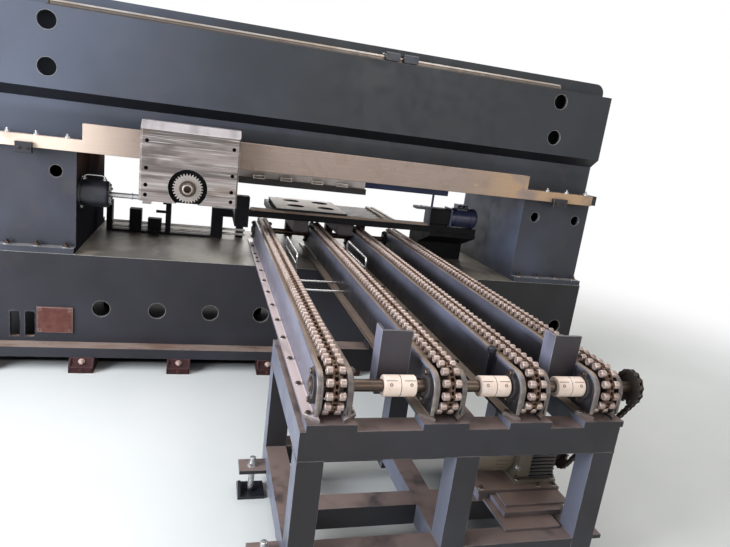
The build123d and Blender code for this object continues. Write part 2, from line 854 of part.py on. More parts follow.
# Posts that carry the guide rods, on a flat base, with two short arms on the right post
with BuildPart() as rod_posts:
    for bar_post_x, bar_post_width, bar_post_top_z in bar_posts:
        with BuildSketch(Plane.XY.offset(bed_top_z)):
            with Locations((bar_post_x, at(bar_y))):
                Rectangle(bar_post_width, bar_post_depth)
        extrude(amount=bar_post_top_z - bed_top_z)
    for arm_left_x, arm_bottom_z, arm_height in bar_arms:
        with BuildSketch(Plane.XY.offset(arm_bottom_z)):
            with Locations(((arm_left_x + bar_posts[-1][0]) / 2, at(bar_y))):
                Rectangle(bar_posts[-1][0] - arm_left_x, bar_arm_depth)
        extrude(amount=arm_height)
    with BuildSketch(Plane.YZ.offset(bar_left_x)):
        with Locations(*[(at(bar_y), z) for z in bar_zs]):
            Circle(bar_radius + seat_gap)
    extrude(amount=saddle_left_x - bar_left_x, mode=Mode.SUBTRACT)
    with BuildSketch(Plane.XY.offset(bed_top_z)):
        with Locations(((bar_left_x + saddle_left_x) / 2, at(bar_y))):
            Rectangle(saddle_left_x - bar_left_x, bar_post_depth)
    extrude(amount=bar_base_height)
rod_posts.part.label = "rod_posts"
export_step(rod_posts.part, "parts/rod_posts.step")

# Small block that slides on both guide rods
with BuildPart() as slide_block:
    with BuildSketch(Plane.YZ.offset(slide_block_x - slide_block_width / 2)):
        with Locations((at(bar_y), (slide_block_bottom_z + slide_block_top_z) / 2)):
            Rectangle(slide_block_depth, slide_block_top_z - slide_block_bottom_z)
        with Locations(*[(at(bar_y), z) for z in bar_zs]):
            Circle(bar_radius + slide_gap, mode=Mode.SUBTRACT)
    extrude(amount=slide_block_width)
slide_block.part.label = "slide_block"
export_step(slide_block.part, "parts/slide_block.step")

# Saddle pedestal: two legs under a plate, an arm towards the front and a tower on its end
saddle_tower_x = saddle_right_x - saddle_tower_width / 2
with BuildPart() as saddle_pedestal:
    with BuildSketch(Plane.XY.offset(bed_top_z)):
        with Locations((saddle_left_x + saddle_leg_width / 2, at((saddle_front + saddle_back) / 2))):
            Rectangle(saddle_leg_width, saddle_back - saddle_front)
        rear_leg_y = at(saddle_back - saddle_rear_leg_depth / 2)
        with Locations((saddle_right_x - saddle_rear_leg_width / 2, rear_leg_y)):
            Rectangle(saddle_rear_leg_width, saddle_rear_leg_depth)
    extrude(amount=saddle_plate_top_z - bed_top_z)
    with BuildSketch(Plane.XY.offset(saddle_plate_bottom_z)):
        with Locations(((saddle_left_x + saddle_right_x) / 2, at((saddle_front + saddle_back) / 2))):
            Rectangle(saddle_right_x - saddle_left_x, saddle_back - saddle_front)
        with Locations((saddle_tower_x, at((feed_beam_front + saddle_back) / 2))):
            Rectangle(saddle_tower_width, saddle_back - feed_beam_front)
    extrude(amount=saddle_plate_top_z - saddle_plate_bottom_z)
    with BuildSketch(Plane.XY.offset(saddle_plate_bottom_z)):
        with Locations((saddle_tower_x, at((feed_beam_front + feed_beam_back) / 2))):
            Rectangle(saddle_tower_width, feed_beam_back - feed_beam_front)
    extrude(amount=saddle_top_z - saddle_plate_bottom_z)
    chamfer(saddle_pedestal.faces().sort_by(Axis.Z)[-1].edges(), wide_bevel)
    with BuildSketch(Plane.YZ.offset(saddle_left_x)):
        with Locations(*[(at(bar_y), z) for z in bar_zs]):
            Circle(bar_radius + seat_gap)
    extrude(amount=saddle_leg_width, mode=Mode.SUBTRACT)
saddle_pedestal.part.label = "saddle_pedestal"
export_step(saddle_pedestal.part, "parts/saddle_pedestal.step")

# Right pedestal: a foot at the back with a bracket that reaches forward under the feed beam
with BuildPart() as right_pedestal:
    with BuildSketch(Plane.YZ.offset(pedestal_left_x)):
        with BuildLine():
            Polyline(
                (at(pedestal_front), bed_top_z),
                (at(pedestal_back), bed_top_z),
                (at(pedestal_back), feed_beam_bottom_z),
                (at(pedestal_arm_front), feed_beam_bottom_z),
                (at(pedestal_arm_front), feed_beam_bottom_z - pedestal_arm_height),
                (at(pedestal_front), pedestal_arm_root_z),
                close=True,
            )
        make_face()
    extrude(amount=pedestal_right_x - pedestal_left_x)
right_pedestal.part.label = "right_pedestal"
export_step(right_pedestal.part, "parts/right_pedestal.step")

# Beam along X that carries the feed rails
feed_middle_y = at((feed_beam_front + feed_beam_back) / 2)
with BuildPart() as feed_beam:
    with BuildSketch(Plane.YZ.offset(saddle_right_x)):
        with Locations((feed_middle_y, (feed_beam_bottom_z + feed_beam_top_z) / 2)):
            Rectangle(feed_beam_back - feed_beam_front, feed_beam_top_z - feed_beam_bottom_z)
    extrude(amount=feed_beam_right_x - saddle_right_x)
    chamfer(feed_beam.edges().filter_by(Axis.X).group_by(Axis.Y)[0], edge_bevel)
feed_beam.part.label = "feed_beam"
export_step(feed_beam.part, "parts/feed_beam.step")

with BuildPart() as feed_rails:
    with BuildSketch(Plane.YZ.offset(feed_rail_left_x)):
        for rail_set in feed_rail_set:
            with Locations((at(feed_beam_front + rail_set), feed_beam_top_z + feed_rail_height / 2)):
                Rectangle(feed_rail_width, feed_rail_height)
    extrude(amount=feed_rail_right_x - feed_rail_left_x)
    chamfer(feed_rails.edges().filter_by(Axis.X).group_by(Axis.Z)[-1], feed_rail_bevel)
feed_rails.part.label = "feed_rails"
export_step(feed_rails.part, "parts/feed_rails.step")

# Table behind the feed beam, on two box tubes and legs between the tracks
table_top_z = feed_beam_top_z - table_drop
table_leg_y = at(table_back - table_leg_size / 2)
with BuildPart() as feed_table:
    with BuildSketch(Plane.XY.offset(table_top_z - table_thickness)):
        with Locations(((table_left_x + table_right_x) / 2, at((feed_beam_back + table_back) / 2))):
            Rectangle(table_right_x - table_left_x, table_back - feed_beam_back)
    extrude(amount=table_thickness)
    with BuildSketch(Plane.XY.offset(bed_top_z)):
        with Locations(*[(leg_x, table_leg_y) for leg_x in table_leg_xs]):
            Rectangle(table_leg_size, table_leg_size)
    extrude(amount=table_top_z - table_thickness - bed_top_z)
    with BuildSketch(Plane.XY.offset(table_tube_bottom_z)):
        with Locations(*[(tube_x, at((feed_beam_back + table_back) / 2)) for tube_x in table_tube_xs]):
            Rectangle(table_tube_width, table_back - feed_beam_back)
    extrude(amount=table_top_z - table_thickness - table_tube_bottom_z)
feed_table.part.label = "feed_table"
export_step(feed_table.part, "parts/feed_table.step")

with BuildPart() as table_rails:
    table_rail_length = table_back - feed_beam_back - 2 * table_rail_clear
    with BuildSketch(Plane.XY.offset(table_top_z)):
        for table_rail_x in table_rail_xs:
            with Locations((table_rail_x, at((feed_beam_back + table_back) / 2))):
                Rectangle(table_rail_width, table_rail_length)
    extrude(amount=table_rail_height)
    chamfer(table_rails.edges().filter_by(Axis.Y).group_by(Axis.Z)[-1], fine_bevel)
table_rails.part.label = "table_rails"
export_step(table_rails.part, "parts/table_rails.step")

# Feed plate with four round openings and shoes on the feed rails and on the table
shoe_bottom_z = feed_beam_top_z + feed_rail_height + slide_gap
with BuildPart() as feed_plate:
    with BuildSketch(Plane.XY.offset(plate_bottom_z)):
        with Locations(((plate_left_x + plate_right_x) / 2, at((plate_front + plate_back) / 2))):
            Rectangle(plate_right_x - plate_left_x, plate_back - plate_front)
        with Locations((plate_hole_centre_x, at(plate_hole_centre_y))):
            with GridLocations(plate_hole_spacing_x, plate_hole_spacing_y, 2, 2):
                Circle(plate_hole_radius, mode=Mode.SUBTRACT)
    extrude(amount=plate_thickness)
    rail_middle = feed_beam_front + sum(feed_rail_set) / 2
    rail_span = feed_rail_set[1] - feed_rail_set[0] + feed_rail_width
    with BuildSketch(Plane.XY.offset(shoe_bottom_z)):
        with Locations(((plate_left_x + plate_right_x) / 2, at(rail_middle))):
            with GridLocations(plate_right_x - plate_left_x - plate_shoe_length, 0, 2, 1):
                Rectangle(plate_shoe_length, rail_span)
    extrude(amount=plate_bottom_z - shoe_bottom_z)
    with BuildSketch(Plane.XY.offset(table_top_z + slide_gap)):
        with Locations(((plate_left_x + plate_right_x) / 2, at(plate_back - plate_shoe_length / 2))):
            with GridLocations(plate_right_x - plate_left_x - plate_shoe_length, 0, 2, 1):
                Rectangle(plate_shoe_length, rail_span)
    extrude(amount=plate_bottom_z - table_top_z - slide_gap)
feed_plate.part.label = "feed_plate"
export_step(feed_plate.part, "parts/feed_plate.step")

# Bracket at the end of the feed rails: an upturned frame of plate
with BuildPart() as screw_bracket:
    with BuildSketch(Plane.XZ.offset(-at(feed_beam_back))):
        with BuildLine():
            Polyline(
                (bracket_right_x, feed_beam_top_z),
                (bracket_right_x, bracket_top_z),
                (bracket_left_x, bracket_top_z),
                (bracket_left_x, bracket_top_z - bracket_wall),
                (bracket_right_x - bracket_wall, bracket_top_z - bracket_wall),
                (bracket_right_x - bracket_wall, feed_beam_top_z + feed_rail_height),
                (feed_rail_right_x, feed_beam_top_z + feed_rail_height),
                (feed_rail_right_x, feed_beam_top_z),
                close=True,
            )
        make_face()
    extrude(amount=feed_beam_back - feed_beam_front)
screw_bracket.part.label = "screw_bracket"
export_step(screw_bracket.part, "parts/screw_bracket.step")

with BuildPart() as gear_head:
    with BuildSketch(Plane.YZ.offset(bracket_right_x)):
        with Locations((feed_middle_y, motor_axis_z)):
            Rectangle(gear_head_size, gear_head_size)
    extrude(amount=gear_head_right_x - bracket_right_x)
    fillet(gear_head.edges().filter_by(Axis.X), gear_head_round)
    with BuildSketch(Plane.XY.offset(feed_beam_top_z)):
        with Locations(((bracket_right_x + gear_head_right_x) / 2, feed_middle_y)):
            Rectangle(gear_head_right_x - bracket_right_x, gear_foot_width)
    extrude(amount=motor_axis_z - gear_head_size / 2 - feed_beam_top_z)
gear_head.part.label = "gear_head"
export_step(gear_head.part, "parts/gear_head.step")

# Feed motor: round body, square flange, domed end cap and connection box
with BuildPart() as feed_motor:
    with BuildSketch(Plane.YZ.offset(gear_head_right_x)) as flange_outline:
        with Locations((feed_middle_y, motor_axis_z)):
            Rectangle(2 * (motor_radius - motor_body_inset), 2 * (motor_radius - motor_body_inset))
        fillet(flange_outline.vertices(), motor_flange_round)
    extrude(amount=motor_flange)
    with BuildSketch(Plane.YZ.offset(gear_head_right_x + motor_flange)):
        with Locations((feed_middle_y, motor_axis_z)):
            Circle(motor_radius - motor_body_inset)
    extrude(amount=motor_length - 5 * motor_flange)
    with BuildSketch(Plane.YZ.offset(gear_head_right_x + motor_length - 4 * motor_flange)):
        with Locations((feed_middle_y, motor_axis_z)):
            Circle(motor_radius)
    extrude(amount=4 * motor_flange)
    fillet(feed_motor.faces().sort_by(Axis.X)[-1].edges(), motor_end_round)
    with BuildSketch(Plane.XY.offset(motor_axis_z)):
        with Locations((gear_head_right_x + motor_box_set, feed_middle_y)):
            Rectangle(motor_box_length, motor_radius)
    extrude(amount=motor_radius + motor_box_height)
feed_motor.part.label = "feed_motor"
export_step(feed_motor.part, "parts/feed_motor.step")

# Pale bar with a ledge and spring clips, fixed under the beam
with BuildPart() as clip_bar:
    with BuildSketch(Plane.YZ.offset(clip_bar_left_x)):
        with BuildLine():
            Polyline(
                (at(clip_bar_front), column_top_z),
                (at(clip_bar_back), column_top_z),
                (at(clip_bar_back), clip_bar_bottom_z - clip_ledge_height),
                (at(clip_bar_front - clip_ledge_reach), clip_bar_bottom_z - clip_ledge_height),
                (at(clip_bar_front - clip_ledge_reach), clip_bar_bottom_z),
                (at(clip_bar_front), clip_bar_bottom_z),
                close=True,
            )
        make_face()
    extrude(amount=clip_bar_right_x - clip_bar_left_x)
    for clip_x in clip_xs:
        with BuildSketch(Plane.XZ.offset(-at(clip_bar_front))):
            with Locations((clip_x, clip_bar_bottom_z + clip_height / 2)):
                Rectangle(clip_width, clip_height)
                Rectangle(clip_width - 2 * clip_wall, clip_height - 2 * clip_wall, mode=Mode.SUBTRACT)
        extrude(amount=clip_ledge_reach)
clip_bar.part.label = "clip_bar"
export_step(clip_bar.part, "parts/clip_bar.step")

# Blue beam beside the clip bar, with a hanger
with BuildPart() as blue_beam:
    with BuildSketch(Plane.YZ.offset(clip_bar_right_x)):
        with Locations((at((clip_bar_front + clip_bar_back) / 2), (blue_beam_bottom_z + column_top_z) / 2)):
            Rectangle(clip_bar_back - clip_bar_front, column_top_z - blue_beam_bottom_z)
    extrude(amount=blue_beam_right_x - clip_bar_right_x)
    fillet(blue_beam.edges().filter_by(Axis.X).group_by(Axis.Z)[0], blue_beam_round)
    with BuildSketch(Plane.XY.offset(hanger_bottom_z)):
        with Locations((hanger_x, at((clip_bar_front + clip_bar_back) / 2))):
            Rectangle(hanger_size, hanger_size)
    extrude(amount=blue_beam_bottom_z - hanger_bottom_z)
blue_beam.part.label = "blue_beam"
export_step(blue_beam.part, "parts/blue_beam.step")

# Conveyor frame: three rows of legs, upper and lower square-tube grids, foot lugs and track pads
leg_xs = (frame_left_x + tube / 2, frame_mid_x, frame_right_x - tube / 2)
foot_xs = (frame_left_x - foot_reach, frame_right_x + foot_reach)
front_tube_y = at(frame_front + tube / 2)
back_tube_y = at(frame_back - tube / 2)
frame_length = frame_right_x - frame_left_x
frame_depth = frame_back - frame_front
frame_centre = ((frame_left_x + frame_right_x) / 2, at((frame_front + frame_back) / 2))
with BuildPart() as conveyor_frame:
    with BuildSketch(Plane.XY.offset(leg_bottom_z)):
        for leg_x in leg_xs:
            with Locations((leg_x, front_tube_y), (leg_x, back_tube_y)):
                Rectangle(tube, tube)
    extrude(amount=frame_top_z - leg_bottom_z)
    for level_z, height in ((frame_top_z, top_tube_height), (lower_top_z, tube)):
        with BuildSketch(Plane.XY.offset(level_z - height)):
            with Locations((frame_centre[0], front_tube_y), (frame_centre[0], back_tube_y)):
                Rectangle(frame_length, tube)
            with Locations(*[(leg_x, frame_centre[1]) for leg_x in leg_xs]):
                Rectangle(tube, frame_depth)
            if level_z == lower_top_z:
                with Locations((frame_centre[0], at(cross_front + tube / 2))):
                    Rectangle(frame_length, tube)
        extrude(amount=height)
    lug_reach = foot_reach + foot_plate_size / 2
    with BuildSketch(Plane.XY.offset(foot_lug_z)):
        for foot_y in foot_ys:
            with Locations((frame_left_x - lug_reach / 2, at(foot_y))):
                Rectangle(lug_reach, foot_lug_width)
            with Locations((frame_right_x + lug_reach / 2, at(foot_y))):
                Rectangle(lug_reach, foot_lug_width)
            with Locations((foot_xs[0], at(foot_y)), (foot_xs[1], at(foot_y))):
                Circle(foot_screw_radius + slide_gap, mode=Mode.SUBTRACT)
    extrude(amount=foot_lug_thickness)
    with BuildSketch(Plane.XY.offset(frame_top_z)):
        for track_x in track_xs:
            with Locations((track_x, front_tube_y), (track_x, back_tube_y)):
                Rectangle(2 * track_pad_half, tube)
    extrude(amount=bed_top_z - frame_top_z)
conveyor_frame.part.label = "conveyor_frame"
export_step(conveyor_frame.part, "parts/conveyor_frame.step")

# Levelling feet: a plate with two gussets round a socket
with BuildPart() as levelling_feet:
    for foot_x in foot_xs:
        for foot_y in foot_ys:
            with BuildSketch(Plane.XY):
                with Locations((foot_x, at(foot_y))):
                    Rectangle(foot_plate_size, foot_plate_size)
            extrude(amount=foot_plate_thickness)
            with BuildSketch(Plane.YZ.offset(foot_x - foot_plate_size / 2)):
                with BuildLine():
                    Polyline(
                        (at(foot_y) - foot_plate_size / 2, foot_plate_thickness),
                        (at(foot_y) + foot_plate_size / 2, foot_plate_thickness),
                        (at(foot_y), foot_plate_thickness + foot_gusset_height),
                        close=True,
                    )
                make_face()
            extrude(amount=foot_plate_thickness)
            with BuildSketch(Plane.XY.offset(foot_plate_thickness)):
                with Locations((foot_x, at(foot_y))):
                    Circle(foot_socket_radius)
            extrude(amount=foot_plate_thickness)
levelling_feet.part.label = "levelling_feet"
export_step(levelling_feet.part, "parts/levelling_feet.step")

# Levelling screws with a nut above and below each lug
with BuildPart() as levelling_screws:
    screw_bottom_z = 2 * foot_plate_thickness
    for foot_x in foot_xs:
        for foot_y in foot_ys:
            with BuildSketch(Plane.XY.offset(screw_bottom_z)):
                with Locations((foot_x, at(foot_y))):
                    Circle(foot_screw_radius)
            extrude(amount=foot_screw_top_z - screw_bottom_z)
            for nut_z in (foot_lug_z - foot_nut_height, foot_lug_z + foot_lug_thickness):
                with BuildSketch(Plane.XY.offset(nut_z)):
                    with Locations((foot_x, at(foot_y))):
                        RegularPolygon(foot_nut_radius, 6)
                extrude(amount=foot_nut_height)
levelling_screws.part.label = "levelling_screws"
export_step(levelling_screws.part, "parts/levelling_screws.step")

# Tracks: two side plates with rounded noses and outward foot flanges, joined by a web
web_clear = 2 * sprocket_hub_radius
track_outer_half = track_inner_half + track_plate
for number, track_x in enumerate(track_xs, start=1):
    with BuildPart() as track:
        for side in (-1, 1):
            inner = track_x + side * track_inner_half
            with BuildSketch(Plane.YZ.offset(inner)) as plate_outline:
                with BuildLine():
                    Polyline(
                        (head_y - track_nose, bed_top_z),
                        (tail_y + track_nose, bed_top_z),
                        (tail_y + track_nose, track_top_z),
                        (head_y - track_nose, track_top_z),
                        close=True,
                    )
                make_face()
                fillet(plate_outline.vertices().group_by(Axis.Z)[-1], track_nose_round)
                with Locations((head_y, shaft_z), (tail_y, shaft_z)):
                    Circle(shaft_radius + hole_clear, mode=Mode.SUBTRACT)
            extrude(amount=side * track_plate)
            with BuildSketch(Plane.XY.offset(bed_top_z)):
                with BuildLine():
                    Polyline(
                        (inner, head_y - track_nose),
                        (track_x + side * track_flange_half, head_y - track_nose + track_flange_half / 2),
                        (track_x + side * track_flange_half, tail_y + track_nose),
                        (inner, tail_y + track_nose),
                        close=True,
                    )
                make_face()
            extrude(amount=track_flange_height)
        with BuildSketch(Plane.XY.offset(shaft_z - track_web_height / 2)):
            with Locations((track_x, (head_y + tail_y) / 2)):
                Rectangle(2 * track_inner_half, tail_y - head_y - 2 * chain_radius - web_clear)
        extrude(amount=track_web_height)
    track.part.label = f"track_{number}"
    export_step(track.part, f"parts/track_{number}.step")

# Wear rails under the rollers of each upper run
with BuildPart() as wear_rails:
    rail_top_z = shaft_z + chain_radius - roller_radius
    rail_span_x = track_inner_half - roller_inner
    with BuildSketch(Plane.XY.offset(rail_top_z - wear_rail_height)):
        for track_x in track_xs:
            with Locations((track_x, (head_y + tail_y) / 2)):
                with GridLocations(track_inner_half + roller_inner, 0, 2, 1):
                    Rectangle(rail_span_x, tail_y - head_y - 2 * chain_radius)
    extrude(amount=wear_rail_height)
wear_rails.part.label = "wear_rails"
export_step(wear_rails.part, "parts/wear_rails.step")

# Chains: link plates as two closed loops, with a side roller at every pitch
chain_ys = roller_centres(head_y, tail_y, chain_radius)
run_rollers = len(chain_ys) - sprocket_teeth // 2 - 1
for number, track_x in enumerate(track_xs, start=1):
    with BuildPart() as chain:
        for side in (-1, 1):
            with BuildSketch(Plane.YZ.offset(track_x + side * link_inner)):
                with Locations(((head_y + tail_y) / 2, shaft_z)):
                    SlotCenterToCenter(tail_y - head_y, 2 * (chain_radius + link_half_height))
                    SlotCenterToCenter(
                        tail_y - head_y,
                        2 * (chain_radius - link_half_height),
                        mode=Mode.SUBTRACT,
                    )
            extrude(amount=side * (roller_inner - link_inner))
            with BuildSketch(Plane.YZ.offset(track_x + side * roller_inner)):
                with Locations(*chain_ys):
                    RegularPolygon(roller_radius, 6, major_radius=False)
            extrude(amount=side * (roller_outer - roller_inner))
        with BuildSketch(Plane.YZ.offset(track_x - link_inner)):
            with Locations(*chain_ys[chain_bridge_step:run_rollers:chain_bridge_step]):
                RegularPolygon(link_pin_radius, 6)
        extrude(amount=2 * link_inner)
    chain.part.label = f"chain_{number}"
    export_step(chain.part, f"parts/chain_{number}.step")

# Sprockets on the head shaft, their teeth between the link plates
sprocket_root = chain_radius - sprocket_root_drop
sprocket_tip = chain_radius + sprocket_tooth_rise
sprocket_tooth = (
    (sprocket_root - sprocket_tooth_sink, -sprocket_tooth_half),
    (sprocket_root, -sprocket_tooth_half),
    (sprocket_tip, -sprocket_tip_half),
    (sprocket_tip, sprocket_tip_half),
    (sprocket_root, sprocket_tooth_half),
    (sprocket_root - sprocket_tooth_sink, sprocket_tooth_half),
)
with BuildPart() as head_sprockets:
    for track_x in track_xs:
        with BuildSketch(Plane.YZ.offset(track_x - sprocket_half_width)):
            with Locations((head_y, shaft_z)):
                Circle(sprocket_root)
                with PolarLocations(0, sprocket_teeth, start_angle=180 / sprocket_teeth):
                    Polygon(*sprocket_tooth, align=None)
                Circle(shaft_radius + seat_gap, mode=Mode.SUBTRACT)
        extrude(amount=2 * sprocket_half_width)
        with BuildSketch(Plane.YZ.offset(track_x - sprocket_hub_half)):
            with Locations((head_y, shaft_z)):
                Circle(sprocket_hub_radius)
                Circle(shaft_radius + seat_gap, mode=Mode.SUBTRACT)
        extrude(amount=2 * sprocket_hub_half)
head_sprockets.part.label = "head_sprockets"
export_step(head_sprockets.part, "parts/head_sprockets.step")

# Head shaft through all four tracks, out to the drive sprocket
bearing_outer = track_outer_half + bearing_thickness
head_shaft_left = track_xs[0] - bearing_outer - shaft_overhang
head_shaft_right = drive_x + 3 * drive_link_outer
with BuildPart() as head_shaft:
    with BuildSketch(Plane.YZ.offset(head_shaft_left)):
        with Locations((head_y, shaft_z)):
            Circle(shaft_radius)
    extrude(amount=head_shaft_right - head_shaft_left)
    chamfer(head_shaft.faces().sort_by(Axis.X)[0].edges(), fine_bevel)
head_shaft.part.label = "head_shaft"
export_step(head_shaft.part, "parts/head_shaft.step")

# Tail shaft with its four sprockets
with BuildPart() as tail_shaft:
    with BuildSketch(Plane.YZ.offset(head_shaft_left)):
        with Locations((tail_y, shaft_z)):
            Circle(shaft_radius)
    extrude(amount=track_xs[-1] + bearing_outer + shaft_overhang - head_shaft_left)
    for track_x in track_xs:
        with BuildSketch(Plane.YZ.offset(track_x - sprocket_half_width)):
            with Locations((tail_y, shaft_z)):
                Circle(sprocket_root)
                with PolarLocations(0, sprocket_teeth, start_angle=180 / sprocket_teeth):
                    Polygon(*sprocket_tooth, align=None)
        extrude(amount=2 * sprocket_half_width)
tail_shaft.part.label = "tail_shaft"
export_step(tail_shaft.part, "parts/tail_shaft.step")

# Flange bearings on the outer faces of the tracks, at both shafts
with BuildPart() as flange_bearings:
    for track_x in track_xs:
        for side in (-1, 1):
            for shaft_y in (head_y, tail_y):
                with BuildSketch(Plane.YZ.offset(track_x + side * track_outer_half)):
                    with Locations((shaft_y, shaft_z)):
                        Circle(bearing_radius)
                        with Locations((0, 0)):
                            SlotCenterToCenter(2 * bearing_ear, 2 * bearing_ear_radius, rotation=90)
                        Circle(shaft_radius + run_gap, mode=Mode.SUBTRACT)
                extrude(amount=side * bearing_thickness)
flange_bearings.part.label = "flange_bearings"
export_step(flange_bearings.part, "parts/flange_bearings.step")

# Couplings clamped on the head shaft
with BuildPart() as shaft_couplings:
    for coupling_x in coupling_xs:
        with BuildSketch(Plane.YZ.offset(coupling_x - coupling_length / 2)):
            with Locations((head_y, shaft_z)):
                Circle(coupling_radius)
                Circle(shaft_radius + seat_gap, mode=Mode.SUBTRACT)
        extrude(amount=coupling_length)
    coupling_rims = shaft_couplings.edges().filter_by(GeomType.CIRCLE)
    chamfer(coupling_rims.filter_by(lambda rim: rim.radius > shaft_radius + seat_gap), fine_bevel)
shaft_couplings.part.label = "shaft_couplings"
export_step(shaft_couplings.part, "parts/shaft_couplings.step")

# Drive sprocket at the end of the head shaft, and pinion in one piece with the gear unit's shaft
drive_radius = drive_pitch / (2 * sin(pi / drive_teeth))
pinion_radius = drive_pitch / (2 * sin(pi / motor_teeth))
pinion_y = at(gear_shaft_y)
drive_half_width = drive_link_inner - drive_link_gap
wheels = (
    ("drive_sprocket", drive_teeth, drive_radius, head_y, shaft_z, shaft_radius),
    ("output_pinion", motor_teeth, pinion_radius, pinion_y, gear_shaft_z, gear_shaft_radius),
)
for label, teeth, pitch_radius, wheel_y, wheel_z, bore_radius in wheels:
    tooth_root = pitch_radius - drive_root_drop
    with BuildPart() as wheel:
        with BuildSketch(Plane.YZ.offset(drive_x - drive_half_width)):
            with Locations((wheel_y, wheel_z)):
                Circle(tooth_root)
                with PolarLocations(0, teeth):
                    Polygon(
                        (tooth_root - drive_tooth, -drive_tooth),
                        (tooth_root, -drive_tooth),
                        (pitch_radius + drive_tooth, -drive_tip_half),
                        (pitch_radius + drive_tooth, drive_tip_half),
                        (tooth_root, drive_tooth),
                        (tooth_root - drive_tooth, drive_tooth),
                        align=None,
                    )
                Circle(bore_radius + seat_gap, mode=Mode.SUBTRACT)
        extrude(amount=2 * drive_half_width)
        with BuildSketch(Plane.YZ.offset(drive_x + drive_half_width)):
            with Locations((wheel_y, wheel_z)):
                Circle(bore_radius * drive_hub_share)
                Circle(bore_radius + seat_gap, mode=Mode.SUBTRACT)
        extrude(amount=bore_radius)
        if label == "output_pinion":
            with BuildSketch(Plane.YZ.offset(reducer_right_x - output_shaft_depth)):
                with Locations((wheel_y, wheel_z)):
                    Circle(bore_radius + seat_gap)
            extrude(amount=drive_x + 3 * drive_link_outer - reducer_right_x + output_shaft_depth)
    wheel.part.label = label
    export_step(wheel.part, f"parts/{label}.step")

# Drive chain: two rows of link plates along the open-belt path, with pins on the straight runs
span_y = pinion_y - head_y
span_z = gear_shaft_z - shaft_z
span = hypot(span_y, span_z)
span_angle = atan2(span_z, span_y)
lead_angle = acos((drive_radius - pinion_radius) / span)


def belt_corner(side, big, offset):
    """Tangent point on one wheel; side is 1 or -1, offset grows the radius."""
    angle = span_angle + side * lead_angle
    radius = (drive_radius if big else pinion_radius) + offset
    start = (head_y, shaft_z) if big else (pinion_y, gear_shaft_z)
    return (start[0] + radius * cos(angle), start[1] + radius * sin(angle))


def belt_corners(offset):
    """The four tangent points of the belt outline grown by this offset."""
    return [belt_corner(*pair, offset) for pair in ((1, True), (1, False), (-1, False), (-1, True))]


with BuildPart() as drive_chain:
    for side in (-1, 1):
        with BuildSketch(Plane.YZ.offset(drive_x + side * drive_link_inner)):
            with Locations((head_y, shaft_z)):
                Circle(drive_radius + drive_link_half_height)
            with Locations((pinion_y, gear_shaft_z)):
                Circle(pinion_radius + drive_link_half_height)
            Polygon(*belt_corners(drive_link_half_height), align=None)
        extrude(amount=side * (drive_link_outer - drive_link_inner))
    with BuildSketch(Plane.YZ.offset(drive_x - drive_link_outer)):
        with Locations((head_y, shaft_z)):
            Circle(drive_radius - drive_link_half_height)
        with Locations((pinion_y, gear_shaft_z)):
            Circle(pinion_radius - drive_link_half_height)
        Polygon(*belt_corners(-drive_link_half_height), align=None)
    extrude(amount=2 * drive_link_outer, mode=Mode.SUBTRACT)
    with BuildSketch(Plane.YZ.offset(drive_x - drive_link_inner)):
        for side in (1, -1):
            first = belt_corner(side, True, 0)
            last = belt_corner(side, False, 0)
            pin_count = int(hypot(last[0] - first[0], last[1] - first[1]) / drive_pitch)
            for index in range(2, pin_count - 1, 2):
                share = index / pin_count
                pin = (first[0] + share * (last[0] - first[0]), first[1] + share * (last[1] - first[1]))
                with Locations(pin):
                    RegularPolygon(drive_pin_radius, 6)
    extrude(amount=2 * drive_link_inner)
drive_chain.part.label = "drive_chain"
export_step(drive_chain.part, "parts/drive_chain.step")

# Base of the gear unit: two channels on the lower grid and a plate
with BuildPart() as motor_base:
    with BuildSketch(Plane.XY.offset(lower_top_z)):
        for channel_x in channel_xs:
            with Locations((channel_x, at((cross_front + frame_back) / 2))):
                Rectangle(channel_width, frame_back - cross_front)
    extrude(amount=channel_height)
    with BuildSketch(Plane.XY.offset(lower_top_z + channel_height)):
        plate_x = (base_plate_left_x + base_plate_right_x) / 2
        with Locations((plate_x, at((base_plate_front + base_plate_back) / 2))):
            Rectangle(base_plate_right_x - base_plate_left_x, base_plate_back - base_plate_front)
    extrude(amount=base_plate_thickness)
motor_base.part.label = "motor_base"
export_step(motor_base.part, "parts/motor_base.step")

# Gear unit with a foot and an output boss
output_bore_radius = gear_shaft_radius + seat_gap + run_gap
base_top_z = lower_top_z + channel_height + base_plate_thickness
reducer_middle_x = (reducer_left_x + reducer_right_x) / 2
with BuildPart() as gear_reducer:
    with BuildSketch(Plane.XZ.offset(-pinion_y - reducer_half_depth)) as reducer_outline:
        with Locations((reducer_middle_x, (base_top_z + reducer_top_z) / 2)):
            Rectangle(reducer_right_x - reducer_left_x, reducer_top_z - base_top_z)
        fillet(reducer_outline.vertices().group_by(Axis.Z)[-1], reducer_round)
    extrude(amount=2 * reducer_half_depth)
    with BuildSketch(Plane.XY.offset(base_top_z)):
        with Locations((reducer_middle_x, pinion_y)):
            foot_length = reducer_right_x - reducer_left_x + 2 * reducer_foot_side
            Rectangle(foot_length, 2 * (reducer_half_depth + reducer_foot_reach))
    extrude(amount=reducer_foot_height)
    with BuildSketch(Plane.YZ.offset(reducer_right_x)):
        with Locations((pinion_y, gear_shaft_z)):
            Circle(output_boss_radius)
            Circle(output_bore_radius, mode=Mode.SUBTRACT)
    extrude(amount=output_boss)
    with BuildSketch(Plane.YZ.offset(reducer_right_x)):
        with Locations((pinion_y, gear_shaft_z)):
            Circle(output_bore_radius)
    extrude(amount=-output_shaft_depth - output_shaft_clear, mode=Mode.SUBTRACT)
gear_reducer.part.label = "gear_reducer"
export_step(gear_reducer.part, "parts/gear_reducer.step")

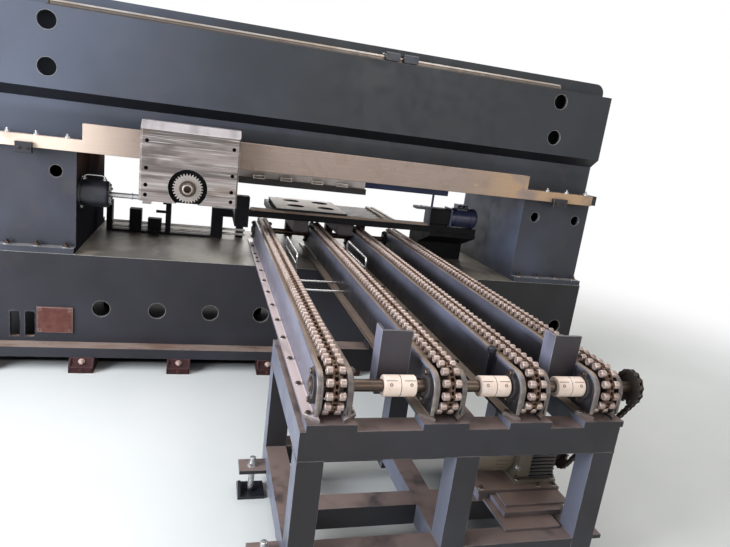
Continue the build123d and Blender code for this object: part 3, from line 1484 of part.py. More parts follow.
# Drive motor: finned body with a smooth fan cowl
with BuildPart() as drive_motor:
    with BuildSketch(Plane.YZ.offset(drive_motor_left_x)):
        with Locations((pinion_y, drive_motor_z)):
            Circle(drive_motor_radius)
    extrude(amount=reducer_left_x - drive_motor_left_x)
    fillet(drive_motor.faces().sort_by(Axis.X)[0].edges(), drive_motor_round)
    fin_left_x = (drive_motor_left_x + reducer_left_x) / 2
    with BuildSketch(Plane.YZ.offset(fin_left_x)):
        with Locations((pinion_y, drive_motor_z)):
            with PolarLocations(drive_motor_radius + (fin_height - fin_root) / 2, fin_count):
                Rectangle(fin_height + fin_root, fin_width)
    extrude(amount=reducer_left_x - fin_left_x - fin_end_gap)
drive_motor.part.label = "drive_motor"
export_step(drive_motor.part, "parts/drive_motor.step")

# Stops: angle plates that stand above the chains, each fixed to the track at its right
stop_tracks = (track_xs[1], track_xs[3])
with BuildPart() as stop_plates:
    for stop_left_x, carrier_x in zip(stop_left_xs, stop_tracks):
        with BuildSketch(Plane.XY.offset(stop_bottom_z)):
            with BuildLine():
                Polyline(
                    (stop_left_x, at(stop_y)),
                    (stop_left_x + stop_width, at(stop_y)),
                    (stop_left_x + stop_width, at(stop_y) + stop_plate),
                    (stop_left_x + stop_plate, at(stop_y) + stop_plate),
                    (stop_left_x + stop_plate, at(stop_y) + stop_flange_depth),
                    (stop_left_x, at(stop_y) + stop_flange_depth),
                    close=True,
                )
            make_face()
        extrude(amount=stop_top_z - stop_bottom_z)
        carrier_face = carrier_x - track_outer_half
        with BuildSketch(Plane.XZ.offset(-at(stop_y) - stop_plate)):
            with Locations(((stop_left_x + stop_width + carrier_face) / 2, (stop_bottom_z + shaft_z) / 2)):
                Rectangle(carrier_face - stop_left_x - stop_width, shaft_z - stop_bottom_z)
        extrude(amount=stop_plate)
stop_plates.part.label = "stop_plates"
export_step(stop_plates.part, "parts/stop_plates.step")

# Post with a knob on the flange of the third track
flange_top_z = bed_top_z + track_flange_height
with BuildPart() as sensor_post:
    with BuildSketch(Plane.XY.offset(flange_top_z)):
        with Locations((post_x, at(post_y))):
            Rectangle(post_width, post_width / 2)
    extrude(amount=post_top_z - flange_top_z)
    with BuildSketch(Plane.XY.offset(post_top_z)):
        with Locations((post_x, at(post_y))):
            Circle(knob_radius)
    extrude(amount=knob_radius)
    chamfer(sensor_post.faces().sort_by(Axis.Z)[-1].edges(), wide_bevel)
sensor_post.part.label = "sensor_post"
export_step(sensor_post.part, "parts/sensor_post.step")

# Flat bar on the left flange of the second track
with BuildPart() as flat_bar:
    flat_bar_x = track_xs[1] - track_flange_half + flat_bar_offset
    with BuildSketch(Plane.XY.offset(flange_top_z)):
        with Locations((flat_bar_x, at((flat_bar_front + flat_bar_back) / 2))):
            Rectangle(flat_bar_width, flat_bar_back - flat_bar_front)
            with GridLocations(0, flat_bar_back - flat_bar_front - 2 * flat_bar_hole_inset, 1, 2):
                Circle(flat_bar_hole, mode=Mode.SUBTRACT)
    extrude(amount=flat_bar_height)
flat_bar.part.label = "flat_bar"
export_step(flat_bar.part, "parts/flat_bar.step")

# Hoops of bent rod on the right flanges of the first two tracks
with BuildPart() as guide_hoops:
    for track_x in track_xs[:2]:
        hoop_x = track_x + track_flange_half - hoop_inset
        with BuildLine() as hoop_path:
            FilletPolyline(
                (hoop_x, at(hoop_front), flange_top_z),
                (hoop_x, at(hoop_front), hoop_top_z),
                (hoop_x, at(hoop_back), hoop_top_z),
                (hoop_x, at(hoop_back), flange_top_z),
                radius=hoop_bend,
            )
        with BuildSketch(Plane(origin=hoop_path.wire() @ 0, z_dir=hoop_path.wire() % 0)):
            Circle(hoop_radius)
        sweep(path=hoop_path.wire())
        with BuildSketch(Plane.XZ.offset(-at(hoop_back))):
            with Locations((hoop_x, hoop_lower_z)):
                Circle(hoop_radius)
        extrude(amount=hoop_back - hoop_front)
guide_hoops.part.label = "guide_hoops"
export_step(guide_hoops.part, "parts/guide_hoops.step")

# Tie rods between the plates of the first two tracks
with BuildPart() as track_ties:
    tie_left_x = track_xs[0] + track_outer_half
    with BuildSketch(Plane.YZ.offset(tie_left_x)):
        with Locations(*[(at(tie_y), tie_z) for tie_y in tie_ys]):
            Circle(tie_radius)
    extrude(amount=track_xs[1] - track_outer_half - tie_left_x)
track_ties.part.label = "track_ties"
export_step(track_ties.part, "parts/track_ties.step")
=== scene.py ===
import json
import math
import random
from itertools import product

import bpy
from mathutils import Matrix, Vector

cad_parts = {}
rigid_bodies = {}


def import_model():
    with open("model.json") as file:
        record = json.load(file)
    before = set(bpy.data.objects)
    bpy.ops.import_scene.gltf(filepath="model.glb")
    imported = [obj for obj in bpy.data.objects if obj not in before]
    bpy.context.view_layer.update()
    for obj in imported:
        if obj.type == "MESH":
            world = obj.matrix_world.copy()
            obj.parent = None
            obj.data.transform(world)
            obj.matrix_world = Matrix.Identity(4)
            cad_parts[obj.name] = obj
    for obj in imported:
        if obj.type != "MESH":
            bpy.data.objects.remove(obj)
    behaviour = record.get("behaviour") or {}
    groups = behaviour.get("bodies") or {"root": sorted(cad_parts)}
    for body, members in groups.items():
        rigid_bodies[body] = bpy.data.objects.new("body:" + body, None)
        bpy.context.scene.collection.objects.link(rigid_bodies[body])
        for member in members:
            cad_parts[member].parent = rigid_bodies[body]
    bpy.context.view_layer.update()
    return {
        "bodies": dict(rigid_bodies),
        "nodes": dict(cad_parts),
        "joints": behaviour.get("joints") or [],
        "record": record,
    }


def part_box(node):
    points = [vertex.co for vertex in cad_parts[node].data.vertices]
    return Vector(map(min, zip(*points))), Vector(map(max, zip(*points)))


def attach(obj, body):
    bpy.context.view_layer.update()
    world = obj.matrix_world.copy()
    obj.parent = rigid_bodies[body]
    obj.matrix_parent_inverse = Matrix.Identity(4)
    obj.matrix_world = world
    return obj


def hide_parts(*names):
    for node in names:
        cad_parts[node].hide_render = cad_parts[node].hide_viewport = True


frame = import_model()
nodes = frame["nodes"]
scene = bpy.context.scene
rng = random.Random(7)

# Pieces are built in millimetres: X from the middle of the gantry, a depth from the front of the bed
# towards its back, and Z from the floor. Surfaces take their places in metres.
MM = 0.001
BED_FRONT = 346.93
SPINDLE_X, SPINDLE_Z = -789, 1104
HEAD_DEPTH, TAIL_DEPTH, SHAFT_Z = -1840.0, 690.0, 752.0
OUTPUT_DEPTH, OUTPUT_Z, MOTOR_Z = -1560, 300.0, 328
TRACKS = (-292.0, 85.0, 392.0, 680.0)


def at(depth):
    """The model's Y, in millimetres, of a depth."""
    return BED_FRONT + depth


# Surfaces

surfaces = {}

# First input and output of a Mix node for each kind of value
MIX_SOCKETS = {"RGBA": (6, 2), "FLOAT": (2, 0)}


def lin(colour):
    """Linear RGBA from an 8-bit colour."""
    out = []
    for value in colour:
        c = value / 255
        out.append(c / 12.92 if c <= 0.04045 else ((c + 0.055) / 1.055) ** 2.4)
    return (*out, 1.0)


class Surface:
    """One procedural surface whose layers are laid over each other in object coordinates."""

    def __init__(self, name, colour, metallic=0.0, roughness=0.5, specular=0.5):
        self.name = name
        self.material = bpy.data.materials.new(name)
        self.material.use_nodes = True
        self.tree = self.material.node_tree
        self.shader = self.tree.nodes["Principled BSDF"]
        self.shader.inputs["Metallic"].default_value = metallic
        self.shader.inputs["Specular IOR Level"].default_value = specular
        self.colour = lin(colour)
        self.rough = roughness
        self.height = None
        self.coords = self.node("TexCoord")
        self.split = None

    def node(self, kind, **settings):
        made = self.tree.nodes.new("ShaderNode" + kind)
        for key, value in settings.items():
            setattr(made, key, value)
        return made

    def feed(self, value, socket):
        """Gives a socket a fixed value or another node's output."""
        if isinstance(value, bpy.types.NodeSocket):
            self.tree.links.new(value, socket)
        else:
            socket.default_value = value

    def math(self, operation, *values, clamp=False):
        made = self.node("Math", operation=operation, use_clamp=clamp)
        for value, socket in zip(values, made.inputs):
            self.feed(value, socket)
        return made.outputs[0]

    def ramp(self, value, low, high):
        """0 below low, 1 above high, smooth between; low may be above high."""
        made = self.node("MapRange", interpolation_type="SMOOTHSTEP")
        self.feed(value, made.inputs["Value"])
        for end, (source, target) in zip(("Min", "Max"), sorted(((low, 0.0), (high, 1.0)))):
            made.inputs[f"From {end}"].default_value = source
            made.inputs[f"To {end}"].default_value = target
        return made.outputs["Result"]

    def noise(self, size, low=0.4, high=0.6, stretch=(1, 1, 1), detail=3.0, shift=0.0, distortion=0.0):
        """Noise whose features are about this many millimetres, sharpened between low and high."""
        mapping = self.node("Mapping")
        self.feed(self.coords.outputs["Object"], mapping.inputs["Vector"])
        mapping.inputs["Location"].default_value = (shift, shift * 0.7, shift * 1.3)
        mapping.inputs["Scale"].default_value = [1 / (size * MM * s) for s in stretch]
        made = self.node("TexNoise")
        self.feed(mapping.outputs["Vector"], made.inputs["Vector"])
        made.inputs["Scale"].default_value = 1.0
        made.inputs["Detail"].default_value = detail
        made.inputs["Distortion"].default_value = distortion
        return self.ramp(made.outputs["Fac"], low, high)

    def place(self, axis):
        """The object coordinate along an axis, in metres."""
        if self.split is None:
            self.split = self.node("SeparateXYZ")
            self.feed(self.coords.outputs["Object"], self.split.inputs[0])
        return self.split.outputs[axis]

    def band(self, axis, low, high):
        """A ramp along an axis, in metres."""
        return self.ramp(self.place(axis), low, high)

    def facing(self, axis, low=0.7, high=0.95):
        """1 where the surface faces along +axis; for -axis both limits are negative."""
        split = self.node("SeparateXYZ")
        self.feed(self.coords.outputs["Normal"], split.inputs[0])
        return self.ramp(split.outputs[axis], low, high)

    def radial(self, axes, centre, low, high):
        """A ramp on the distance (mm) from a line through centre, across two axes."""
        total = 0.0
        for axis, value in zip(axes, centre):
            part = self.math("SUBTRACT", self.place(axis), value * MM)
            total = self.math("ADD", total, self.math("MULTIPLY", part, part))
        return self.ramp(self.math("SQRT", total), low * MM, high * MM)

    def edge(self, width, low=0.02, high=0.2):
        """1 near sharp edges."""
        bevel = self.node("Bevel", samples=6)
        bevel.inputs["Radius"].default_value = width * MM
        geometry = self.node("NewGeometry")
        dot = self.node("VectorMath", operation="DOT_PRODUCT")
        self.feed(bevel.outputs["Normal"], dot.inputs[0])
        self.feed(geometry.outputs["Normal"], dot.inputs[1])
        return self.ramp(self.math("SUBTRACT", 1.0, dot.outputs["Value"]), low, high)

    def both(self, *masks):
        """The product of the masks."""
        out = masks[0]
        for mask in masks[1:]:
            out = self.math("MULTIPLY", out, mask)
        return out

    def mixed(self, kind, present, value, strength, masks):
        """The present value with another laid over it where all the masks are 1."""
        first, result = MIX_SOCKETS[kind]
        made = self.node("Mix", data_type=kind, clamp_factor=True)
        self.feed(self.math("MULTIPLY", self.both(*masks), strength, clamp=True), made.inputs["Factor"])
        self.feed(present, made.inputs[first])
        self.feed(value, made.inputs[first + 1])
        return made.outputs[result]

    def layer(self, colour, strength, *masks):
        """Lays a colour over what is there, by the masks."""
        self.colour = self.mixed("RGBA", self.colour, lin(colour), strength, masks)

    def polish(self, value, strength, *masks):
        """Draws the roughness towards a value by the masks."""
        self.rough = self.mixed("FLOAT", self.rough, value, strength, masks)

    def matt(self, specular, mask):
        """The specular level, which falls to nothing where the mask is 1."""
        level = self.math("MULTIPLY", self.math("SUBTRACT", 1.0, mask), specular)
        self.feed(level, self.shader.inputs["Specular IOR Level"])

    def bump(self, depth, mask):
        """Raises the surface by this many millimetres where the mask is 1."""
        part = self.math("MULTIPLY", mask, depth)
        self.height = part if self.height is None else self.math("ADD", self.height, part)

    def done(self, round_edges=0.0):
        """Joins the layers to the shader and keeps the material under its name."""
        self.feed(self.colour, self.shader.inputs["Base Color"])
        self.feed(self.rough, self.shader.inputs["Roughness"])
        normal = None
        if round_edges:
            bevel = self.node("Bevel", samples=4)
            bevel.inputs["Radius"].default_value = round_edges * MM
            normal = bevel.outputs["Normal"]
        if self.height is not None:
            bump = self.node("Bump")
            bump.inputs["Distance"].default_value = MM
            self.feed(self.height, bump.inputs["Height"])
            if normal is not None:
                self.feed(normal, bump.inputs["Normal"])
            normal = bump.outputs["Normal"]
        if normal is not None:
            self.feed(normal, self.shader.inputs["Normal"])
        surfaces[self.name] = self.material


def paint(name, colour, light, dark, smudge, worn=(150, 148, 146), roughness=0.42, specular=0.35, dust=None):
    """Satin machine paint: soft cloudy tone, smudges, fine orange peel and worn edges."""
    s = Surface(name, colour, roughness=roughness, specular=specular)
    s.layer(light, 0.7, s.noise(700, 0.42, 0.66))
    s.layer(dark, 0.6, s.noise(420, 0.45, 0.7, shift=3.1))
    s.layer(smudge, 0.5, s.noise(160, 0.55, 0.75, shift=7.7, distortion=0.6))
    s.layer(light, 0.22, s.noise(28, 0.6, 0.8, (1, 1, 3), shift=1.9))
    if dust:
        s.layer(dust, 0.72, s.facing("Z"), s.noise(120, 0.2, 0.55, shift=5.3))
    s.layer(worn, 0.8, s.edge(2.2), s.noise(35, 0.35, 0.6, shift=2.2))
    s.polish(roughness + 0.16, 0.8, s.noise(90, 0.4, 0.7, shift=4.4))
    s.polish(roughness - 0.12, 0.7, s.noise(260, 0.5, 0.7, shift=8.8))
    s.bump(0.035, s.noise(3.0, 0.2, 0.8, detail=1.0))
    s.bump(0.25, s.noise(220, 0.3, 0.7, shift=6.1))
    return s


def steel(name, colour, light, dark, stain, grain=(1, 1, 1), roughness=0.32, metallic=0.75, scratch=0.5,
          specular=0.5):
    """Machined steel: a grain along the cut, stains and fine scratches."""
    s = Surface(name, colour, metallic, roughness, specular)
    s.layer(light, scratch, s.noise(1.6, 0.35, 0.75, grain, detail=2.0))
    s.layer(dark, scratch * 0.8, s.noise(4.0, 0.45, 0.8, grain, shift=2.6))
    s.layer(stain, 0.55, s.noise(110, 0.5, 0.75, shift=5.1, distortion=0.8))
    s.polish(roughness + 0.2, 0.7, s.noise(45, 0.4, 0.7, shift=3.3))
    s.polish(roughness - 0.1, 0.6, s.noise(9, 0.5, 0.7, grain, shift=9.9))
    s.bump(0.03, s.noise(1.1, 0.2, 0.8, grain, detail=2.0))
    return s


# Grain of a cut along X
ALONG, CUT, MILLED = (30, 1, 1), (40, 1, 1), (60, 1, 1)

# Crossbeam: painted light towards the left, darker in the middle, and painted shade on the downward faces
# under the slope and in bands above the strip
s = paint("slate_paint", (54, 55, 58), (64, 67, 76), (42, 43, 46), (66, 60, 60), specular=0.3)
s.layer((98, 106, 124), 0.6, s.band("X", 0.2, -2.4), s.noise(900, 0.1, 0.6, shift=9.1))
s.layer((37, 41, 43), 0.6, s.band("X", -1.1, -0.3), s.band("Z", 1.5, 1.56),
        s.noise(500, 0.1, 0.5, shift=4.7))
s.layer((22, 22, 25), 0.9, s.facing("Z", -0.12, -0.4))
s.layer((30, 31, 35), 0.45, s.band("Z", 1.46, 1.40), s.noise(420, 0.2, 0.6, (3, 1, 1), shift=2.9))
s.layer((30, 31, 34), 0.55, s.band("Z", 1.46, 1.44), s.band("X", -0.95, -0.45), s.band("X", 1.3, 0.4))
s.done(1.2)

# Columns: machined feet, painted light that makes the left-facing sides bluer, and painted shade on the left
# column's inner face, with a painted reddish reflection at its top
s = paint("column_paint", (54, 55, 61), (70, 74, 88), (44, 44, 49), (68, 62, 62), specular=0.3)
s.layer((176, 170, 166), 0.85, s.band("Z", 0.6905, 0.6895), s.facing("Z"))
s.layer((88, 94, 112), 0.75, s.facing("X", -0.7, -0.95), s.noise(500, 0.2, 0.6, shift=5.9),
        s.band("Z", 0.66, 0.95))
inner = s.both(s.facing("X"), s.band("X", -1.30, -1.36))
s.layer((30, 28, 31), 0.8, inner)
s.layer((104, 80, 72), 0.7, inner, s.band("Z", 0.98, 1.2), s.noise(260, 0.2, 0.6, shift=3.7))
s.polish(0.7, 0.9, inner)
s.matt(0.3, inner)
s.done(1.2)

# Bed: painted casting with an oily machined top, rusty machined foot edges, a pale line along the top edges
# that is worn paint with a painted highlight, and the inside painted black as painted shade
BED_SHELL = 1.907
bed_back = max(vertex.co.y for vertex in nodes["bed"].data.vertices if vertex.co.z > 0.4)
s = paint("bed_paint", (42, 41, 45), (51, 51, 58), (34, 33, 37), (52, 47, 46), specular=0.25)
s.layer((36, 33, 30), 0.6, s.band("X", 0.5, 1.5), s.noise(600, 0.1, 0.5, (1, 1, 4), shift=6.8))
table = s.both(s.facing("Z"), s.band("Z", 0.60, 0.65))
ledge = s.both(s.facing("Z"), s.band("Z", 0.30, 0.20))
painted_shade_inside = s.both(
    s.band("Y", at(26) * MM, at(29) * MM), s.band("Z", 0.655, 0.65),
    s.band("Y", bed_back - 0.027, bed_back - 0.030),
    s.band("X", BED_SHELL, BED_SHELL - 0.003), s.band("X", -BED_SHELL, 0.003 - BED_SHELL),
)
s.layer((122, 115, 103), 1.0, table)
s.layer((148, 138, 124), 0.7, table, s.noise(420, 0.4, 0.75, shift=1.1, distortion=0.6))
s.layer((50, 45, 41), 0.75, table, s.noise(300, 0.4, 0.62, (1, 2, 1), shift=6.6, distortion=0.4))
s.layer((146, 138, 124), 0.45, table, s.noise(150, 0.56, 0.72, (1, 3, 1), shift=12.6))
s.layer((100, 84, 68), 0.4, table, s.noise(130, 0.55, 0.8, shift=4.2))
# A pale line along the top edges: worn paint with a painted highlight
s.layer((206, 200, 190), 0.85, s.edge(4.0, 0.01, 0.1), s.band("Z", 0.648, 0.653))
# The inside painted near black and matt as painted shade
s.layer((10, 10, 11), 1.0, painted_shade_inside)
s.layer((148, 130, 118), 1.0, ledge)
s.layer((116, 88, 76), 0.8, ledge, s.noise(70, 0.45, 0.65, (4, 1, 1), shift=2.4))
s.layer((84, 76, 72), 0.7, ledge, s.noise(30, 0.6, 0.75, shift=3.9))
s.feed(s.math("MULTIPLY", table, 0.1), s.shader.inputs["Metallic"])
s.polish(0.42, 1.0, table)
s.polish(0.52, 0.6, table, s.noise(360, 0.4, 0.75, shift=7.1))
s.polish(0.95, 1.0, painted_shade_inside)
s.polish(0.5, 0.8, ledge)
s.matt(0.25, painted_shade_inside)
s.done(1.5)

# Machined pad of the bed: brown oxide with a paler border
s = Surface("pad_steel", (84, 40, 34), metallic=0.3, roughness=0.42)
s.layer((104, 62, 52), 0.7, s.noise(50, 0.4, 0.65, shift=1.0))
s.layer((120, 92, 78), 0.7, s.noise(24, 0.52, 0.66, shift=4.6, distortion=1.0), s.edge(22.0, 0.005, 0.08))
s.layer((72, 52, 40), 0.6, s.noise(34, 0.56, 0.7, shift=3.0, distortion=1.0))
s.layer((118, 82, 70), 0.35, s.noise(3, 0.5, 0.8, ALONG, shift=5.0))
s.layer((170, 150, 142), 0.8, s.edge(8.0, 0.01, 0.12))
s.bump(0.03, s.noise(1.4, 0.3, 0.7, ALONG))
s.done()

# Levelling wedges and their adjusters
s = paint("wedge_primer", (42, 17, 18), (58, 29, 29), (36, 16, 17), (48, 34, 28), worn=(180, 140, 134),
          roughness=0.55, specular=0.25)
s.layer((140, 100, 97), 0.4, s.edge(3.5, 0.01, 0.1))
s.done(1.0)
steel("adjuster_steel", (176, 150, 140), (214, 194, 186), (116, 92, 84), (130, 96, 84), roughness=0.4,
      metallic=0.4).done(0.6)

# Guide strip: pale to the left, yellower to the right, with stains
s = steel("guide_steel", (140, 123, 112), (166, 148, 134), (118, 102, 92), (132, 110, 94), MILLED,
          roughness=0.4, metallic=0.3, scratch=0.35)
s.layer((112, 96, 84), 0.5, s.noise(38, 0.64, 0.78, shift=4.4))
s.layer((226, 204, 184), 0.85, s.band("X", -1.0, -1.5), s.noise(200, 0.1, 0.45, shift=2.7))
s.layer((188, 152, 112), 0.75, s.band("X", 0.8, 1.4), s.noise(120, 0.3, 0.6, shift=1.3))
s.layer((196, 160, 116), 0.6, s.noise(26, 0.66, 0.76, shift=8.3, distortion=1.2),
        s.noise(300, 0.5, 0.6, shift=5.5))
s.done(1.0)

# Head block: ground steel with long horizontal streaks, bright bevels, and the spindle recess painted dark
# as painted shade
s = Surface("head_steel", (142, 132, 127), metallic=0.4, roughness=0.4)
bevel_top = s.band("Z", 1.3955, 1.3985)
# The spindle recess, painted near black as painted shade
painted_shade_recess = s.both(
    s.radial("XZ", (SPINDLE_X, SPINDLE_Z), 104.2, 103.4), s.band("Y", at(-160.2) * MM, at(-158.5) * MM),
)
s.layer((178, 172, 166), 0.85, s.noise(16, 0.5, 0.72, CUT, shift=1.3, detail=2.0))
s.layer((82, 74, 70), 0.8, s.noise(34, 0.46, 0.6, (70, 70, 1), shift=7.4, detail=2.0))
s.layer((68, 62, 60), 0.75, s.band("Z", 1.33, 1.385), s.band("Z", 1.396, 1.394))
s.layer((78, 71, 68), 0.6, s.band("X", -0.80, -0.92), s.band("Z", 1.19, 1.24),
        s.noise(90, 0.35, 0.6, (2, 1, 1), shift=8.8))
s.layer((88, 79, 73), 0.85, s.noise(22, 0.5, 0.72, (12, 1, 1), shift=8.2, detail=4.0))
s.layer((112, 92, 78), 0.6, s.noise(48, 0.55, 0.72, (5, 1, 1.4), shift=3.7))
s.layer((78, 70, 66), 0.6, s.noise(70, 0.5, 0.68, (3, 1, 1), shift=6.1), s.band("X", -0.74, -0.86))
s.layer((205, 200, 194), 0.7, s.noise(5, 0.62, 0.74, MILLED, shift=5.6, detail=1.0))
s.layer((86, 78, 72), 0.8, s.noise(14, 0.7, 0.8, (3, 1, 1), shift=9.4))
s.layer((150, 145, 148), 0.85, bevel_top)
s.layer((104, 99, 100), 0.6, bevel_top, s.noise(70, 0.45, 0.7, (1, 8, 8), shift=5.2))
s.layer((222, 216, 212), 0.7, s.edge(3.0, 0.01, 0.1))
s.layer((15, 15, 16), 1.0, painted_shade_recess)
s.polish(0.36, 0.7, bevel_top)
s.polish(0.5, 0.7, s.noise(30, 0.45, 0.7, (8, 1, 1), shift=2.8))
s.bump(0.03, s.noise(0.9, 0.2, 0.8, (50, 1, 1), detail=1.0))
s.done(0.8)

# Spindle gear: darker web and hub
s = steel("gear_steel", (176, 168, 162), (206, 198, 192), (130, 124, 118), (128, 116, 104), roughness=0.3)
s.layer((60, 56, 52), 0.25, s.radial("XZ", (SPINDLE_X, SPINDLE_Z), 68.5, 66.5))
s.layer((84, 80, 76), 0.5, s.radial("XZ", (SPINDLE_X, SPINDLE_Z), 41.5, 39.5), s.facing("Y", -0.5, 0.5))
s.done(0.6)

# Beam rail: only its crown is bright, the waist and foot are brown with old grease
s = steel("rail_steel", (110, 100, 92), (140, 128, 118), (78, 70, 64), (98, 82, 70), MILLED, roughness=0.3,
          metallic=0.5)
crown = s.band("Z", 1.9775, 1.9795)
s.layer((178, 170, 163), 0.9, crown)
s.layer((150, 128, 100), 0.5, crown, s.noise(180, 0.5, 0.6, shift=2.2))
s.layer((60, 52, 48), 0.8, s.band("Z", 1.9665, 1.9645))
s.done(0.8)

# Bare steels
steel("bright_steel", (186, 186, 186), (214, 214, 214), (150, 150, 152), (150, 140, 130), CUT,
      roughness=0.22).done(0.6)
steel("rod_steel", (224, 218, 212), (240, 236, 230), (150, 142, 136), (150, 136, 122), CUT, roughness=0.3,
      metallic=0.3).done(0.4)
steel("bore_steel", (150, 144, 138), (190, 184, 176), (112, 106, 100), (120, 108, 96), roughness=0.3,
      metallic=0.5).done()
steel("oily_steel", (78, 66, 58), (112, 96, 84), (48, 40, 36), (70, 54, 44), ALONG, roughness=0.3).done(0.8)
steel("plate_steel", (70, 72, 80), (98, 102, 112), (48, 50, 56), (84, 78, 74), ALONG, roughness=0.5,
      metallic=0.2).done(1.0)
steel("table_steel", (92, 86, 86), (118, 110, 108), (66, 62, 62), (84, 74, 68), ALONG,
      roughness=0.6, metallic=0.0, specular=0.15).done(1.0)
steel("table_rail_steel", (150, 130, 114), (182, 162, 146), (96, 82, 72), (110, 86, 70), ALONG,
      roughness=0.55, metallic=0.0, specular=0.15).done(0.8)
s = steel("bearing_iron", (74, 71, 72), (98, 94, 96), (52, 50, 51), (70, 62, 56), roughness=0.45,
          metallic=0.45)
s.bump(0.1, s.noise(2.4, 0.3, 0.7))
s.done(1.0)

# Feed plate: ground top painted extra pale as painted light under the beam's shadow, dark oxidised sides
s = steel("feed_plate_steel", (234, 222, 212), (244, 234, 226), (200, 186, 176), (206, 180, 160), ALONG,
          roughness=0.6, metallic=0.0, specular=0.15)
s.layer((150, 142, 140), 0.7, s.edge(3.0, 0.01, 0.1))
s.layer((40, 40, 42), 1.0, s.facing("Z", 0.6, 0.3))
s.done(0.8)

# Enamels
paint("black_enamel", (32, 32, 37), (46, 48, 58), (20, 20, 23), (52, 47, 46), worn=(124, 120, 118),
      roughness=0.3, specular=0.4).done(1.5)
paint("oily_black", (21, 21, 23), (30, 31, 35), (13, 13, 14), (34, 30, 28), worn=(90, 84, 80), roughness=0.6,
      specular=0.12).done(1.5)
paint("motor_enamel", (46, 50, 74), (62, 72, 106), (28, 30, 42), (60, 56, 60), worn=(120, 126, 140),
      roughness=0.32, specular=0.5).done(1.5)
paint("blue_enamel", (28, 38, 74), (40, 54, 100), (20, 26, 48), (40, 42, 54), worn=(140, 146, 160),
      roughness=0.4).done(1.5)
paint("carriage_enamel", (24, 30, 48), (40, 48, 72), (14, 16, 26), (34, 34, 40), roughness=0.3,
      specular=0.5).done(1.0)
s = paint("cast_brown", (98, 90, 78), (122, 112, 96), (68, 62, 55), (88, 74, 62), worn=(116, 104, 94),
          roughness=0.45)
s.bump(0.12, s.noise(2.6, 0.3, 0.7))
s.done(1.5)

# Clip bar: pale above, with its front face there painted paler still as painted light in the strip's shade,
# and dark below
s = paint("pale_enamel", (206, 196, 178), (220, 212, 196), (176, 160, 138), (190, 170, 140),
          worn=(110, 96, 80), roughness=0.5)
s.layer((250, 236, 228), 0.9, s.facing("Y", -0.5, -0.9), s.band("Z", 1.157, 1.159))
s.layer((44, 41, 40), 1.0, s.band("Z", 1.1565, 1.1545))
s.done(0.8)

# Mouths of tapped holes and sockets, near black and matt inside as painted shade
s = Surface("hole_black", (12, 12, 13), roughness=0.9, specular=0.05)
s.layer((20, 19, 18), 0.6, s.noise(4, 0.4, 0.7))
s.done()

# Wear rails under the chains
s = Surface("wear_plastic", (104, 88, 74), roughness=0.5, specular=0.4)
s.layer((128, 106, 84), 0.7, s.noise(60, 0.5, 0.75, (1, 6, 1)))
s.layer((58, 48, 42), 0.7, s.noise(24, 0.55, 0.75, (1, 8, 1), shift=2.2))
s.layer((170, 150, 126), 0.5, s.noise(9, 0.64, 0.8, (1, 14, 1), shift=6.0))
s.bump(0.08, s.noise(4, 0.3, 0.7, (1, 5, 1)))
s.done(1.0)

# Shaft couplings
s = Surface("coupling_enamel", (236, 212, 194), roughness=0.42, specular=0.4)
s.layer((244, 228, 214), 0.7, s.noise(40, 0.4, 0.7))
s.layer((196, 176, 150), 0.6, s.noise(26, 0.58, 0.78, shift=3.0, distortion=0.7))
s.layer((120, 100, 82), 0.7, s.noise(7, 0.7, 0.8, shift=5.0))
s.layer((110, 96, 84), 0.55, s.edge(1.6))
s.polish(0.6, 0.7, s.noise(18, 0.5, 0.7, shift=1.0))
s.bump(0.02, s.noise(2.2, 0.3, 0.7))
s.done(0.8)

# Conveyor frame: the same satin coat with a pinkish film of dust on upward faces, and painted light on the
# faces that look left
s = paint("frame_paint", (42, 40, 41), (56, 56, 62), (32, 31, 32), (54, 48, 47), worn=(170, 164, 166),
          dust=(142, 122, 114), specular=0.3)
s.layer((104, 107, 120), 0.85, s.facing("X", -0.7, -0.95), s.noise(300, 0.1, 0.5, shift=2.6))
s.done(2.0)

# Stop plates: painted light on the faces that look left, and pale edges that are worn paint with a painted
# highlight
s = paint("stop_paint", (62, 58, 61), (76, 72, 77), (48, 45, 48), (70, 61, 60), worn=(190, 184, 186),
          roughness=0.4, specular=0.3)
s.layer((118, 119, 134), 0.9, s.facing("X", -0.7, -0.95), s.noise(120, 0.1, 0.5, shift=4.4))
s.layer((196, 190, 192), 0.6, s.edge(3.0, 0.01, 0.08))
s.done(1.0)

# Base of the gear unit: pinkish brown dust on dark paint, and painted light on the faces that look left
s = paint("base_paint", (80, 71, 69), (100, 89, 87), (62, 55, 54), (104, 86, 78), worn=(186, 168, 160),
          dust=(144, 121, 110))
s.layer((176, 176, 196), 0.6, s.facing("X", -0.7, -0.95), s.noise(200, 0.1, 0.5, shift=3.3))
s.done(1.5)


